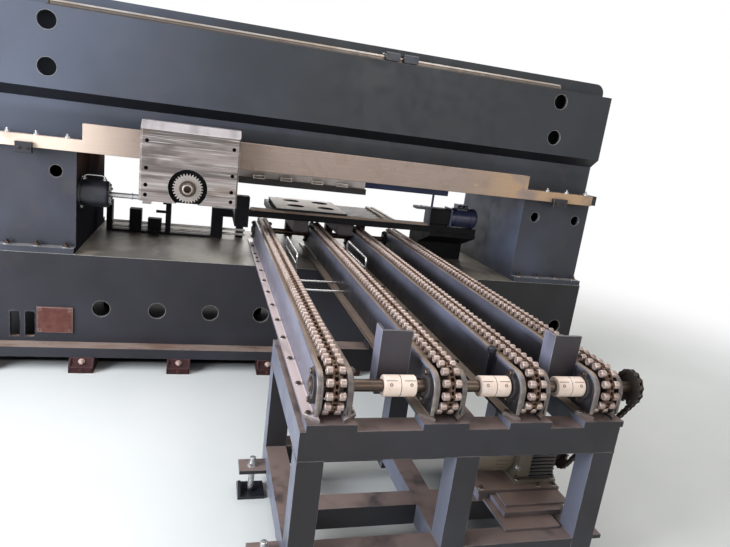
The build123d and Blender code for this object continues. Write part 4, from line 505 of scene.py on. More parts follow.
def track_surface(name, colour, light, dark, smudge, shade_and_grime, flange, near=None):
    """Track plates: bluish coat, darker towards the flange in painted shade with streaks of dirt, with bare
    tan top edges and flanges.
    """
    s = paint(name, colour, light, dark, smudge, worn=(176, 172, 176), specular=0.45, roughness=0.36)
    s.layer(shade_and_grime, 0.9, s.band("Z", 0.80, 0.71), s.noise(260, 0.1, 0.5, shift=4.9))
    if near:
        # near is painted shade: darker at the head end and low on the plates
        shaded_head_end = s.band("Y", at(-1150) * MM, at(-1560) * MM)
        s.layer(near, 0.9, shaded_head_end, s.noise(300, 0.05, 0.4, shift=8.1), s.band("Z", 0.806, 0.785))
        s.layer(near, 0.8, s.band("Z", 0.79, 0.735), s.noise(400, 0.05, 0.4, shift=6.6))
    s.layer(shade_and_grime, 0.5, s.noise(34, 0.6, 0.75, (1, 1, 5), shift=2.9), s.band("Z", 0.80, 0.72))
    up = s.facing("Z")
    s.layer((122, 104, 88), 0.95, up)
    s.layer((154, 138, 124), 0.7, up, s.noise(60, 0.4, 0.7, (1, 5, 1), shift=3.2))
    s.layer((84, 72, 60), 0.7, up, s.noise(26, 0.55, 0.75, (1, 4, 1), shift=6.2))
    s.layer((168, 146, 130), 0.6, up, s.edge(4.0, 0.01, 0.1))
    s.layer(flange, 0.95, up, s.band("Z", 0.70, 0.69), s.noise(120, 0.15, 0.5, (1, 3, 1), shift=7.3))
    nose = s.facing("Y", -0.35, -0.7)
    s.layer((104, 95, 90), 0.9, nose)
    s.layer((136, 122, 112), 0.7, nose, s.noise(22, 0.5, 0.7, shift=3.6))
    for depth in (HEAD_DEPTH, TAIL_DEPTH):
        bearing = s.radial("YZ", (at(depth), SHAFT_Z), 62, 50)
        s.layer((64, 60, 62), 0.75, bearing, s.noise(30, 0.25, 0.6, shift=1.4))
    s.done(1.6)


# Tracks 2 to 4 take the darker copy of the paint, painted shade from the tracks beside them; track 1 takes a
# lighter lit copy, painted light from the left
track_surface("track_paint", (90, 90, 102), (116, 120, 138), (66, 66, 76), (100, 92, 94), (34, 33, 37),
              (138, 122, 108), near=(34, 33, 36))
track_surface("track_lit_paint", (122, 121, 133), (146, 147, 162), (102, 100, 112), (126, 118, 122),
              (98, 94, 104), (204, 186, 182))

# Chains
s = steel("roller_steel", (158, 138, 128), (208, 196, 192), (104, 84, 76), (98, 72, 58), roughness=0.28,
          metallic=0.55)
s.layer((74, 52, 40), 0.6, s.noise(5, 0.62, 0.74, shift=4.0))
s.done()
steel("link_steel", (98, 74, 60), (138, 110, 92), (58, 42, 33), (80, 56, 42), (1, 20, 1), roughness=0.38,
      metallic=0.5).done(0.5)
steel("drive_link_steel", (62, 56, 52), (96, 88, 80), (34, 30, 28), (54, 42, 34), roughness=0.36,
      metallic=0.5).done(0.4)

NODES_BY_FINISH = {
    "bed_paint": "bed",
    "pad_steel": "bed_pad",
    "wedge_primer": "levelling_wedges",
    "column_paint": "left_column right_column",
    "slate_paint": "crossbeam",
    "guide_steel": "guide_strip flat_bar",
    "black_enamel": "strip_clamps push_cylinder levelling_feet sensor_post",
    "rail_steel": "beam_rail",
    "carriage_enamel": "rail_carriage_1 rail_carriage_2",
    "head_steel": "head_block",
    "gear_steel": "spindle_gear",
    "oily_steel": "spindle_shaft head_sprockets head_shaft tail_shaft",
    "oily_black": "spindle_housing rod_posts slide_block saddle_pedestal right_pedestal feed_beam gear_head",
    "bright_steel": "push_rod levelling_screws guide_hoops track_ties",
    "rod_steel": "guide_rods",
    "table_rail_steel": "feed_rails table_rails",
    "table_steel": "feed_table",
    "feed_plate_steel": "feed_plate",
    "plate_steel": "screw_bracket",
    "motor_enamel": "feed_motor",
    "pale_enamel": "clip_bar",
    "blue_enamel": "blue_beam",
    "frame_paint": "conveyor_frame",
    "track_lit_paint": "track_1",
    "track_paint": "track_2 track_3 track_4",
    "wear_plastic": "wear_rails",
    "link_steel": "chain_1 chain_2 chain_3 chain_4",
    "bearing_iron": "flange_bearings",
    "coupling_enamel": "shaft_couplings",
    "drive_link_steel": "drive_sprocket output_pinion drive_chain",
    "base_paint": "motor_base",
    "cast_brown": "gear_reducer drive_motor",
    "stop_paint": "stop_plates",
}
for finish, names in NODES_BY_FINISH.items():
    for name in names.split():
        mesh = nodes[name].data
        mesh.materials.clear()
        mesh.materials.append(surfaces[finish])


# Mesh building

SHARP_ANGLE = math.radians(35)


class Piece:
    """Collects lofted shapes, in millimetres, and makes one object of them; kind picks the finish."""

    def __init__(self, *finishes):
        self.finishes = finishes
        self.points = []
        self.faces = []
        self.kinds = []

    def add(self, face, kind):
        self.faces.append(tuple(face))
        self.kinds.append(kind)

    def loft(self, loops, kind=0, start=True, end=True):
        """Skins a row of closed loops that have equally many points, and caps its ends."""
        count = len(loops[0])
        base = len(self.points)
        last = base + (len(loops) - 1) * count
        for loop in loops:
            self.points.extend(loop)
        for row in range(base, last, count):
            for i in range(count):
                j = (i + 1) % count
                self.add((row + i, row + j, row + count + j, row + count + i), kind)
        if start:
            self.add(range(base + count - 1, base - 1, -1), kind)
        if end:
            self.add(range(last, last + count), kind)

    def skin(self, frame, steps, kind=0, start=True, end=True):
        """A loft through steps of (outline, distance along the frame's third axis)."""
        loops = [[place(frame, point, along) for point in outline] for outline, along in steps]
        self.loft(loops, kind, start, end)

    def turned(self, frame, profile, segments, kind=0, start=True, end=True):
        """A turned shape: profile is (radius, distance along the frame's third axis)."""
        steps = []
        for radius, along in profile:
            steps.append(([polar(radius, i / segments) for i in range(segments)], along))
        self.skin(frame, steps, kind, start, end)

    def sleeve(self, frame, profile, segments, kind=0):
        """A turned skin with open ends."""
        self.turned(frame, profile, segments, kind, start=False, end=False)

    def plate(self, frame, outline, thickness, bevel=0.0, kind=0):
        """A flat plate on the frame, its outline bevelled on both faces."""
        steps = [(outline, bevel), (outline, thickness - bevel)]
        if bevel:
            smaller = inset(outline, bevel)
            steps = [(smaller, 0), *steps, (smaller, thickness)]
        self.skin(frame, steps, kind)

    def pipe(self, path, radius, kind=0):
        """A round rod that follows points."""
        points = [Vector(point) for point in path]
        loops = []
        side = None
        for point, behind, ahead in zip(points, points[:1] + points, points[1:] + points[-1:]):
            along = (ahead - behind).normalized()
            if side is None:
                side = along.orthogonal().normalized()
            side = (side - along * side.dot(along)).normalized()
            loops.append(ring(point, side, along.cross(side), radius, 10))
        self.loft(loops, kind)

    def make(self, name, body="root", replaces=()):
        mesh = bpy.data.meshes.new(name)
        mesh.from_pydata([(x * MM, y * MM, z * MM) for x, y, z in self.points], [], self.faces)
        for finish in self.finishes:
            mesh.materials.append(surfaces[finish])
        mesh.polygons.foreach_set("material_index", self.kinds)
        mesh.polygons.foreach_set("use_smooth", [True] * len(self.faces))
        mesh.validate()
        mesh.update()
        mesh.set_sharp_from_angle(angle=SHARP_ANGLE)
        piece = bpy.data.objects.new(name, mesh)
        scene.collection.objects.link(piece)
        if replaces:
            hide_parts(*replaces)
        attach(piece, body)


def polar(radius, turn):
    """A flat point at a radius and a part of a whole turn."""
    return (radius * math.cos(2 * math.pi * turn), radius * math.sin(2 * math.pi * turn))


def ring(middle, side, other, radius, count):
    """Points round a middle, in the plane of two directions."""
    flats = [polar(radius, i / count) for i in range(count)]
    return [tuple(middle + side * a + other * b) for a, b in flats]


def place(frame, flat, along):
    """A point of a local frame (origin, first, second, third axis)."""
    origin, first, second, third = frame
    return tuple(o + flat[0] * a + flat[1] * b + along * c
                 for o, a, b, c in zip(origin, first, second, third))


AXES = {
    "X": ((0, 1, 0), (0, 0, 1), (1, 0, 0)),
    "-X": ((0, -1, 0), (0, 0, 1), (-1, 0, 0)),
    "Y": ((0, 0, 1), (1, 0, 0), (0, 1, 0)),
    "-Y": ((1, 0, 0), (0, 0, 1), (0, -1, 0)),
    "Z": ((1, 0, 0), (0, 1, 0), (0, 0, 1)),
}
SIDE_AXIS = {1: "X", -1: "-X"}


def spot(axis, x, depth, z):
    """A frame at a place whose third axis points along this direction."""
    return ((x, at(depth), z), *AXES[axis])


def raised(frame, along, flat=(0, 0)):
    """The frame moved along its third axis, and across it."""
    return (place(frame, flat, along), *frame[1:])


def tilted(origin, angle):
    """A frame in the plane across X, turned by an angle about X; its third axis is +X."""
    c, s = math.cos(angle), math.sin(angle)
    return (origin, (0, c, s), (0, -s, c), (1, 0, 0))


def box_mm(node):
    """A node's lowest and highest corners in millimetres."""
    return [Vector(corner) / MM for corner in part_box(node)]


def inset(outline, distance):
    """A convex outline, drawn anticlockwise, moved inwards by a distance."""
    out = []
    for i, (x, y) in enumerate(outline):
        px, py = outline[i - 1]
        nx, ny = outline[(i + 1) % len(outline)]
        before = Vector((x - px, y - py)).normalized()
        after = Vector((nx - x, ny - y)).normalized()
        inward = Vector((-before.y - after.y, before.x + after.x)).normalized()
        shift = inward * distance / max(0.3, inward.dot(Vector((-before.y, before.x))))
        out.append((x + shift.x, y + shift.y))
    return out


def rectangle(width, height, corner=0.0, steps=4):
    """A rectangle round its middle, with rounded corners."""
    if not corner:
        return [(sx * width / 2, sy * height / 2) for sx, sy in ((-1, -1), (1, -1), (1, 1), (-1, 1))]
    out = []
    for index, (sx, sy) in enumerate(((1, 1), (-1, 1), (-1, -1), (1, -1))):
        for step in range(steps + 1):
            px, py = polar(corner, (index + step / steps) / 4)
            out.append((sx * (width / 2 - corner) + px, sy * (height / 2 - corner) + py))
    return out


def hex_bolt(piece, frame, size, kind=0, washer=1, stud=0.0):
    """Hexagon head on a washer; size is the thread's radius. stud adds a thread end above the head."""
    corner, base, high = size * 1.85, size * 0.4, size * 1.3
    inner, outer = size * 2.15, size * 2.3
    piece.turned(frame, ((inner, 0), (outer, 0.4), (outer, size * 0.35), (inner, size * 0.42)), 20, washer)
    profile = ((corner, base), (corner, base + high * 0.85), (corner * 0.88, base + high))
    piece.turned(frame, profile, 6, kind)
    if stud:
        threads(piece, frame, size, base + high, base + high + stud, kind)


def cap_screw(piece, frame, size, kind=0, dark=1):
    """Socket head screw with a hexagon socket; size is the thread's radius."""
    radius, high = size * 1.6, size * 1.7
    turns = [i / 24 for i in range(24)]
    rim = [polar(radius, turn) for turn in turns]
    crown = [polar(radius * 0.9, turn) for turn in turns]
    flat = size * 0.95 * math.cos(math.pi / 6)
    socket = [polar(flat / math.cos((turn * 6 % 1 - 0.5) * math.pi / 3), turn) for turn in turns]
    piece.skin(frame, ((rim, 0), (rim, high * 0.85), (crown, high), (socket, high)), kind, end=False)
    piece.skin(frame, ((socket, high), (socket, high * 0.35)), dark, start=False)


def threads(piece, frame, radius, low, high, kind=0, pitch=2.5):
    """A threaded stud, cut as close rings."""
    count = max(1, int((high - low) / pitch))
    step = (high - low) / count
    profile = [(radius * 0.8, low)]
    for index in range(count):
        for reach, share in ((0.84, 0.1), (1.0, 0.45), (1.0, 0.55), (0.84, 0.9)):
            profile.append((radius * reach, low + step * (index + share)))
    profile.append((radius * 0.7, high))
    piece.turned(frame, profile, 16, kind)


def hole_rim(piece, frame, radius, width=3.0):
    """A bright turned chamfer in the mouth of a round opening."""
    proud, depth = 0.4, 11.0
    wall, lip = radius - 0.3, radius + width * 0.75
    profile = ((wall, -depth), (wall, -width), (radius - 0.6, -width), (radius + width * 0.4, proud),
               (lip, proud), (lip, -0.2))
    piece.sleeve(frame, profile, 48)


def link_outline(pitch, end, waist, steps=6):
    """Figure-eight link plate between two pins at 0 and pitch."""
    near = [polar(end, -0.25 - 0.5 * i / steps) for i in range(steps + 1)]
    far = [(pitch + y, z) for y, z in (polar(end, 0.25 - 0.5 * i / steps) for i in range(steps + 1))]
    return [*far, (pitch / 2, -waist), *near, (pitch / 2, waist)][::-1]


# Chains with side rollers
PITCH, TEETH = 40.0, 12
CHAIN_RADIUS = PITCH / (2 * math.sin(math.pi / TEETH))
PIN_RADIUS, LINK_THICK = 6.0, 1.7
BARREL = (
    (5.8, 0.0), (11.8, 0.0), (12.9, 0.8), (13.4, 2.2), (13.5, 8.0), (13.5, 14.5), (13.3, 18.0), (12.6, 19.7),
    (11.2, 20.6), (7.6, 20.6), (6.8, 19.4), (4.6, 19.4), (4.2, 20.8), (1.6, 21.0),
)


def chain_joints():
    """Pin centres (Y, Z) round the whole loop: upper run, tail, lower run, head."""
    head = at(HEAD_DEPTH)
    runs = int((at(TAIL_DEPTH) - head) / PITCH)
    last = head + runs * PITCH
    points = []
    for start, end, side in ((head, last, 1), (last, head, -1)):
        for i in range(runs + 1):
            points.append((start + side * i * PITCH, SHAFT_Z + side * CHAIN_RADIUS))
        for i in range(1, TEETH // 2):
            y, z = polar(CHAIN_RADIUS, side / 4 - i / TEETH)
            points.append((end + y, SHAFT_Z + z))
    return points


joints = chain_joints()
link = link_outline(PITCH, 9.8, 8.2)
for number, track_x in enumerate(TRACKS, start=1):
    chain = Piece("roller_steel", "link_steel")
    for index, (y, z) in enumerate(joints):
        next_y, next_z = joints[(index + 1) % len(joints)]
        direction = math.atan2(next_z - z, next_y - y)
        offset = 6.2 if index % 2 else 8.1
        for side in (-1, 1):
            chain.turned(((track_x + side * 9.6, y, z), *AXES[SIDE_AXIS[side]]), BARREL, 16)
            link_x = track_x + side * offset - LINK_THICK / 2
            chain.plate(tilted((link_x, y, z), direction), link, LINK_THICK, kind=1)
        pin = ((track_x - 6.0, y, z), *AXES["X"])
        chain.turned(pin, ((PIN_RADIUS, 0), (PIN_RADIUS, 12.0)), 10, 1)
    chain.make(f"roller_chain_{number}", replaces=(f"chain_{number}",))

# Roller chain of the drive, from the head shaft down to the gear unit
DRIVE_X, DRIVE_PITCH = 820.0, 25.4
big = (at(HEAD_DEPTH), SHAFT_Z, DRIVE_PITCH / (2 * math.sin(math.pi / 14)))
small = (at(OUTPUT_DEPTH), OUTPUT_Z, DRIVE_PITCH / (2 * math.sin(math.pi / 12)))


def on_wheel(wheel, angle):
    """The point of a wheel (Y, Z, radius) at an angle."""
    return (wheel[0] + wheel[2] * math.cos(angle), wheel[1] + wheel[2] * math.sin(angle))


def between(start, end, share):
    return tuple(a + share * (b - a) for a, b in zip(start, end))


def belt_path():
    """Points at even steps round both wheels, as many as whole pairs of links need."""
    dy, dz = small[0] - big[0], small[1] - big[1]
    length = math.hypot(dy, dz)
    lead = math.acos((big[2] - small[2]) / length)
    upper, lower = math.atan2(dz, dy) + lead, math.atan2(dz, dy) - lead
    straight = length * math.sin(lead)
    small_arc = small[2] * 2 * lead
    total = 2 * straight + small_arc + big[2] * (2 * math.pi - 2 * lead)
    step_count = 2 * round(total / DRIVE_PITCH / 2)
    points = []
    for k in range(step_count):
        run = total * k / step_count
        if run < straight:
            points.append(between(on_wheel(big, upper), on_wheel(small, upper), run / straight))
            continue
        run -= straight
        if run < small_arc:
            points.append(on_wheel(small, upper - run / small[2]))
            continue
        run -= small_arc
        if run < straight:
            points.append(between(on_wheel(small, lower), on_wheel(big, lower), run / straight))
        else:
            points.append(on_wheel(big, lower - (run - straight) / big[2]))
    return points


belt = belt_path()
drive = Piece("drive_link_steel", "oily_steel")
for index, (y, z) in enumerate(belt):
    next_y, next_z = belt[(index + 1) % len(belt)]
    direction = math.atan2(next_z - z, next_y - y)
    link = link_outline(math.hypot(next_y - y, next_z - z), 8.6, 6.4)
    offset = 6.8 if index % 2 else 5.2
    for low in (DRIVE_X - offset - 1.4, DRIVE_X + offset):
        drive.plate(tilted((low, y, z), direction), link, 1.4)
    drive.turned(((DRIVE_X - 4.9, y, z), *AXES["X"]), ((5.4, 0), (6.2, 0.5), (6.2, 9.3), (5.4, 9.8)), 12, 1)
    for side in (-1, 1):
        end = ((DRIVE_X + side * 6.0, y, z), *AXES[SIDE_AXIS[side]])
        drive.turned(end, ((3.2, 0), (3.2, 3.0), (2.2, 3.7)), 10, 1)
drive.make("drive_roller_chain", replaces=("drive_chain",))

# Machined rims and bores of the openings
HOLE_RADIUS, COLUMN_HOLE_RADIUS = 47.5, 33.0
rims = Piece("bore_steel")
for x in (-1234, -929, -624, -319, 319, 624, 929, 1234, 1770):
    hole_rim(rims, spot("-Y", x, 0, 345), HOLE_RADIUS)
for side in (-1, 1):
    for x in (1484, 1801):
        hole_rim(rims, spot("-Y", side * x, 60, 1106), COLUMN_HOLE_RADIUS, 2.5)
    for z in (1878, 1645):
        hole_rim(rims, spot("-Y", side * 1540, 110, z), HOLE_RADIUS)
rims.make("opening_rims")

# Frames of the bed's two windows
window_frames = Piece("bed_paint")
outer, opening = rectangle(58, 158, 10), rectangle(49, 149, 13)
for x in (-1678, -1602):
    steps = ((outer, -0.5), (outer, 0.6), (opening, 0.6), (opening, -26))
    window_frames.skin(spot("-Y", x, 0, 240), steps, start=False, end=False)
window_frames.make("window_frames")

# Bolts of the columns' feet, of the guide strip and of the beam's base plate
FOOT_TOP, BASE_PLATE_TOP = 690, 1290
bolts = Piece("bright_steel", "oily_steel")
for side, x, depth in product((-1, 1), (1428, 1573, 1719, 1864), (30, 1030)):
    hex_bolt(bolts, spot("Z", side * x, depth, FOOT_TOP), 9.0, 1, 0, stud=12)
for x in (-1703, -1567, -1418, 1509, 1657, 1808):
    hex_bolt(bolts, spot("Z", x, 12, BASE_PLATE_TOP), 7.0, 0, 0, stud=12)
for x in (-1860, 1860):
    hex_bolt(bolts, spot("Z", x, 90, BASE_PLATE_TOP), 8.0, 0, 0, stud=12)
for index in range(14):
    hex_bolt(bolts, spot("Z", -1820 + index * 280, 960, BASE_PLATE_TOP), 9.0, 1, 0, stud=10)
bolts.make("gantry_bolts")

# Screws of the bed's pad and of the strip's clamp blocks
screws = Piece("oily_steel", "black_enamel")
for dx, dz in product((-78.12, 78.12), (-60.8, 60.8)):
    cap_screw(screws, spot("-Y", -1473 + dx, -6, 271 + dz), 3.6)
for clamp_x, gap in ((-1615, 19), (1588, 26)):
    for side in (-1, 1):
        cap_screw(screws, spot("-Y", clamp_x + side * gap, -48, 1222), 5.0)
screws.make("pad_and_clamp_screws")

# Levelling wedges: threaded adjuster with its nut, and a slanted cheek at each end
adjusters = Piece("adjuster_steel", "wedge_primer")
wedge_low, wedge_high = box_mm("levelling_wedges")
cheek = [(0, 4), (34, 4), (34, wedge_high.z - 1), (26, wedge_high.z - 1), (0, 40)]
for side, toe_y in ((1, wedge_low.y + 9), (-1, wedge_high.y - 9)):
    for index in range(8):
        x = index * 526 - 1841
        nut = ((x, toe_y + side * 27, 60), *AXES["-Y" if side == 1 else "Y"])
        hex_bolt(adjusters, nut, 8.0, 0, 0, stud=9)
        for end in (-1, 1):
            corner = ((x + end * 60 - 5, toe_y, 0), (0, side, 0), (0, 0, 1), (1, 0, 0))
            adjusters.plate(corner, cheek, 10, 1.2, 1)
adjusters.make("wedge_adjusters")

# Beam rail: plugs over its screws, and a stop at each end
RAIL_DEPTH, RAIL_TOP = 170.0, 1987.0
plugs = Piece("oily_steel", "bore_steel")
for index in range(39):
    plugs.turned(spot("Z", -1482 + index * 78, RAIL_DEPTH, RAIL_TOP),
                 ((9.0, -0.5), (9.0, 0.25), (7.6, 0.25), (7.2, -0.3), (0.5, -0.3)), 18)
for end in (-1, 1):
    stop = spot(SIDE_AXIS[end], end * 1537, RAIL_DEPTH, 1970)
    plugs.plate(stop, rectangle(40, 30, 4), 10, 1.5)
    cap_screw(plugs, raised(stop, 10), 3.6)
plugs.make("rail_plugs")

# Carriages: end seals, their screws, a grease nipple on the outer end and four screws on top
SEAL = 2.0
for name, body, outer_side in (("rail_carriage_1", "carriage_1", -1), ("rail_carriage_2", "carriage_2", 1)):
    low, high = box_mm(name)
    middle = (low + high) / 2
    seals = Piece("black_enamel", "coupling_enamel", "bright_steel")
    for side in (-1, 1):
        face = high.x if side == 1 else low.x
        axes = AXES[SIDE_AXIS[side]]
        for leg in (-1, 1):
            leg_y = middle.y + leg * ((high.y - low.y) / 2 - 14)
            seals.plate(((face, leg_y, middle.z), *axes), rectangle(24, high.z - low.z - 4, 3), SEAL, 0.6)
            screw = ((face + side * SEAL, leg_y, middle.z + 8), *axes)
            seals.turned(screw, ((3.6, 0), (3.6, 0.3), (3.0, 0.5)), 14, 1)
        if side == outer_side:
            nipple = ((face + side * SEAL, middle.y, high.z - 9), *axes)
            seals.turned(nipple, ((4, 0), (4, 4), (2.4, 5), (2.4, 8), (3.2, 9), (3.2, 11), (1.6, 12)), 12, 2)
    for dx, dy in product((-26, 26), (-34, 34)):
        top = ((middle.x + dx, middle.y + dy, high.z), *AXES["Z"])
        seals.turned(top, ((5.5, -0.4), (5.5, 0.4), (4.4, 0.4), (4.2, -0.2), (0.4, -0.2)), 16, 2)
    seals.make(f"{name}_seals", body)

# Bolts along the flanges of the tracks: none under the hoops, nor on the second track's left flange
FLANGE_TOP, HOOP_DEPTHS = 668, (-370, -156)
track_bolts = Piece("oily_steel", "bright_steel")
for track_x, side in product(TRACKS, (-1, 1)):
    if (track_x, side) == (TRACKS[1], -1):
        continue
    for depth in (-1865, -1656, -1442, -1226, -1012, -798, -584, -370, -156, 60, 162, 271, 511):
        if side == 1 and track_x in TRACKS[:2] and depth in HOOP_DEPTHS:
            continue
        hex_bolt(track_bolts, spot("Z", track_x + side * 68, depth, FLANGE_TOP), 5.0)
track_bolts.make("track_bolts")

# Lips round the noses of the track plates, drawn out thin along their tops
NOSE_RADIUS, LIP_END = 63, 420
LIP_SECTION = ((0.0, 0.4), (7.0, 0.4), (10.0, -1.0), (12.0, -3.6), (12.0, -7.0), (0.0, -7.0))
nose_y = at(HEAD_DEPTH) - 7
lip_path = [(nose_y - NOSE_RADIUS, 680.0, -1, 0, 1.0), (nose_y - NOSE_RADIUS, 716.0, -1, 0, 1.0)]
for step in range(13):
    out_y, out_z = polar(1.0, (24 - step) / 48)
    lip_path.append((nose_y + NOSE_RADIUS * out_y, SHAFT_Z + NOSE_RADIUS * out_z, out_y, out_z, 1.0))
lip_path.append((at(HEAD_DEPTH) + 60, 815.0, 0, 1, 1.0))
lip_path.append((at(HEAD_DEPTH) + LIP_END, 815.0, 0, 1, 0.12))
lips = Piece("track_paint")
for track_x, side in product(TRACKS, (-1, 1)):
    loops = []
    for y, z, out_y, out_z, wide in lip_path:
        section = [(track_x + side * (46 + across * wide), y + out_y * deep, z + out_z * deep)
                   for across, deep in LIP_SECTION]
        loops.append(section if side == -1 else section[::-1])
    lips.loft(loops)
lips.make("track_nose_lips")

# Flange bearings: seal ring, bolts and grease nipple
bearings = Piece("oily_steel")
for track_x, side, depth in product(TRACKS, (-1, 1), (HEAD_DEPTH, TAIL_DEPTH)):
    face = track_x + side * 63.0
    seal = spot(SIDE_AXIS[side], face, depth, SHAFT_Z)
    bearings.sleeve(seal, ((27, -1), (27, 3.0), (25.5, 4.0), (20.4, 4.0), (20.4, -1)), 28)
    for ear in (-1, 1):
        hex_bolt(bearings, spot(SIDE_AXIS[side], face, depth, SHAFT_Z + ear * 48), 5.0, 0, 0)
    nipple = spot("Z", face - side * 8, depth, SHAFT_Z + 41)
    bearings.turned(nipple, ((3.5, 0), (3.5, 3), (2.2, 4), (2.2, 6), (3.0, 7), (2.0, 9)), 10)
bearings.make("bearing_details")

# Couplings: set screws, clamp slits and the joint in the middle
COUPLING_RADIUS, SET_SCREW_TURN = 34.2, 152 / 360


def outward(x, turn, radius):
    """A frame at an angle round the head shaft; its third axis points away from the shaft."""
    out_y, out_z = polar(1.0, turn)
    origin = (x, at(HEAD_DEPTH) + radius * out_y, SHAFT_Z + radius * out_z)
    return (origin, (1, 0, 0), (0, -out_z, out_y), (0, out_y, out_z))


clamps = Piece("black_enamel", "oily_steel")
for x in (-70.0, 267.0, 558.5):
    for side in (-1, 1):
        screw = outward(x + side * 34, SET_SCREW_TURN, COUPLING_RADIUS - 0.6)
        clamps.turned(screw, ((5.2, 0), (5.2, 1.8), (4.4, 2.0), (3.0, 2.0), (3.0, 1.2)), 18, 1)
    for side, turn in product((-1, 1), (0.36, 0.86)):
        clamps.plate(outward(x + side * 31, turn, COUPLING_RADIUS), rectangle(38, 2.2), 1.0, 0.2)
    clamps.turned(spot("X", x - 1.1, HEAD_DEPTH, SHAFT_Z), ((35.1, 0), (35.1, 2.2)), 40)
clamps.make("coupling_screws", "head_drive")

# Push cylinder: gland, flange bolts, ports and the pipe between them
ROD_DEPTH, ROD_Z, PORTS = 165.0, 988.0, (-1360, -1252)
cylinder = Piece("bright_steel", "oily_steel")
gland = spot("X", -1104, ROD_DEPTH, ROD_Z)
cylinder.sleeve(gland, ((15.4, -2), (21.0, -1), (21.0, 1.6), (18.0, 2.4), (15.4, 2.4)), 28)
for index in range(6):
    dy, dz = polar(54, (index + 0.5) / 6)
    hex_bolt(cylinder, spot("X", -1222.5, ROD_DEPTH + dy, ROD_Z + dz), 4.2, 1, 0)
for x in PORTS:
    port = spot("Z", x, ROD_DEPTH, ROD_Z + 75)
    cylinder.turned(port, ((12, 0), (12, 9), (10.5, 10.5)), 6)
    cylinder.turned(raised(port, 10), ((7, 0), (7, 8), (5.2, 9), (5.2, 13)), 16)
corners = ((0, 92), (8, 100), (18, 103))
route = [(PORTS[0] + dx, dz) for dx, dz in corners] + [(PORTS[1] - dx, dz) for dx, dz in reversed(corners)]
cylinder.pipe([(x, at(ROD_DEPTH), ROD_Z + dz) for x, dz in route], 4.5)
cylinder.make("cylinder_fittings")

# Spindle: screws round the hub and a bright nose ring
hub = ((SPINDLE_X, box_mm("spindle_gear")[0].y, SPINDLE_Z), *AXES["-Y"])
shaft_end = ((SPINDLE_X, box_mm("spindle_shaft")[0].y, SPINDLE_Z), *AXES["-Y"])
nose = Piece("gear_steel", "oily_steel")
nose.sleeve(hub, ((44, -0.5), (44, 0.6), (32, 0.6), (32, -0.5)), 40, 1)
for index in range(6):
    cap_screw(nose, raised(hub, 0, polar(38, index / 6)), 2.4, 1, 1)
nose.sleeve(shaft_end, ((27.5, -1), (27.5, 1.2), (26, 2.2), (20.5, 2.2), (19.5, -0.5)), 36)
nose.make("spindle_nose_ring", "spindle")

# Head: rims of the tapped holes
taps = Piece("hole_black")
for dx, z in product((-223.5, 223.5), (1052, 1105, 1195, 1338)):
    hole = spot("-Y", -782 + dx, -160, z)
    taps.turned(hole, ((6.6, -10), (6.6, 0.3), (9.8, 0.5), (10.4, 0.3), (10.4, -0.2)), 20, end=False)
taps.make("head_tapped_holes", "head")


def weld_bead(piece, start, end, radius):
    """A rippled bead of weld laid along a joint."""
    first, last = Vector(start), Vector(end)
    along = (last - first).normalized()
    side = along.orthogonal().normalized()
    ripples = 2 * max(2, int((last - first).length / 7))
    loops = []
    for ripple in range(ripples + 1):
        swell = radius * (1.0 if ripple % 2 else 0.78) * rng.uniform(0.92, 1.06)
        loops.append(ring(first + (last - first) * ripple / ripples, side, along.cross(side), swell, 8))
    piece.loft(loops)


# Conveyor frame: weld beads round the tops of the legs, at the ends of the low tubes and up their sides
LEGS, ROWS, HALF_LEG = (-347.5, 182.5, 707.5), (-1878.5, -1206.5), 42.5
LEG_TOP, TUBE_LOW, TUBE_HIGH = 536, 100, 185
beads = Piece("frame_paint")
for x, row, side in product(LEGS, ROWS, (-1, 1)):
    front, back, face = at(row) - HALF_LEG, at(row) + HALF_LEG, x + side * HALF_LEG
    across_y = at(row) + side * HALF_LEG
    weld_bead(beads, (x - HALF_LEG, across_y, LEG_TOP), (x + HALF_LEG, across_y, LEG_TOP), 2.2)
    weld_bead(beads, (face, front, LEG_TOP), (face, back, LEG_TOP), 3.6)
    if LEGS[0] < face < LEGS[-1]:
        weld_bead(beads, (face, front, TUBE_HIGH), (face, back, TUBE_HIGH), 3.6)
        for y in (front, back):
            weld_bead(beads, (face, y, TUBE_LOW), (face, y, TUBE_HIGH), 2.2)
beads.make("frame_welds")

# Levelling screws of the conveyor: threads above and below the lug, and washers
feet = Piece("bright_steel")
for x, depth in product((-445.0, 805.0), (-1800.0, -1290.0)):
    foot = spot("Z", x, depth, 0)
    threads(feet, foot, 12.6, 124, 163)
    threads(feet, foot, 12.6, 26, 95)
    for low, high in ((108.5, 110.2), (125.6, 127.0)):
        feet.sleeve(foot, ((22, low), (22, high), (13, high)), 24)
feet.make("levelling_threads")

# Tracks: the bend between plate and flange
BEND_RADIUS = 9
for number, track_x in enumerate(TRACKS, start=1):
    bend = Piece("track_lit_paint" if number == 1 else "track_paint")
    for side in (-1, 1):
        loops = []
        for depth in [*range(-1868, 732, 130), 758]:
            section = []
            for corner in range(6):
                out_x, out_z = polar(BEND_RADIUS, corner / 20)
                x = track_x + side * (46.5 + BEND_RADIUS - out_z)
                section.append((x, at(depth), 667.6 + BEND_RADIUS - out_x))
            section.append((track_x + side * 46.0, at(depth), 667.0))
            loops.append(section if side == 1 else section[::-1])
        bend.loft(loops)
    bend.make(f"track_bend_{number}")

# Bolts of the stop plates
stops = Piece("oily_steel", "bright_steel")
for x, z in product((-6.0, 638.0), (712, 738)):
    hex_bolt(stops, spot("-Y", x, -1775, z), 5.0)
stops.make("stop_bolts")

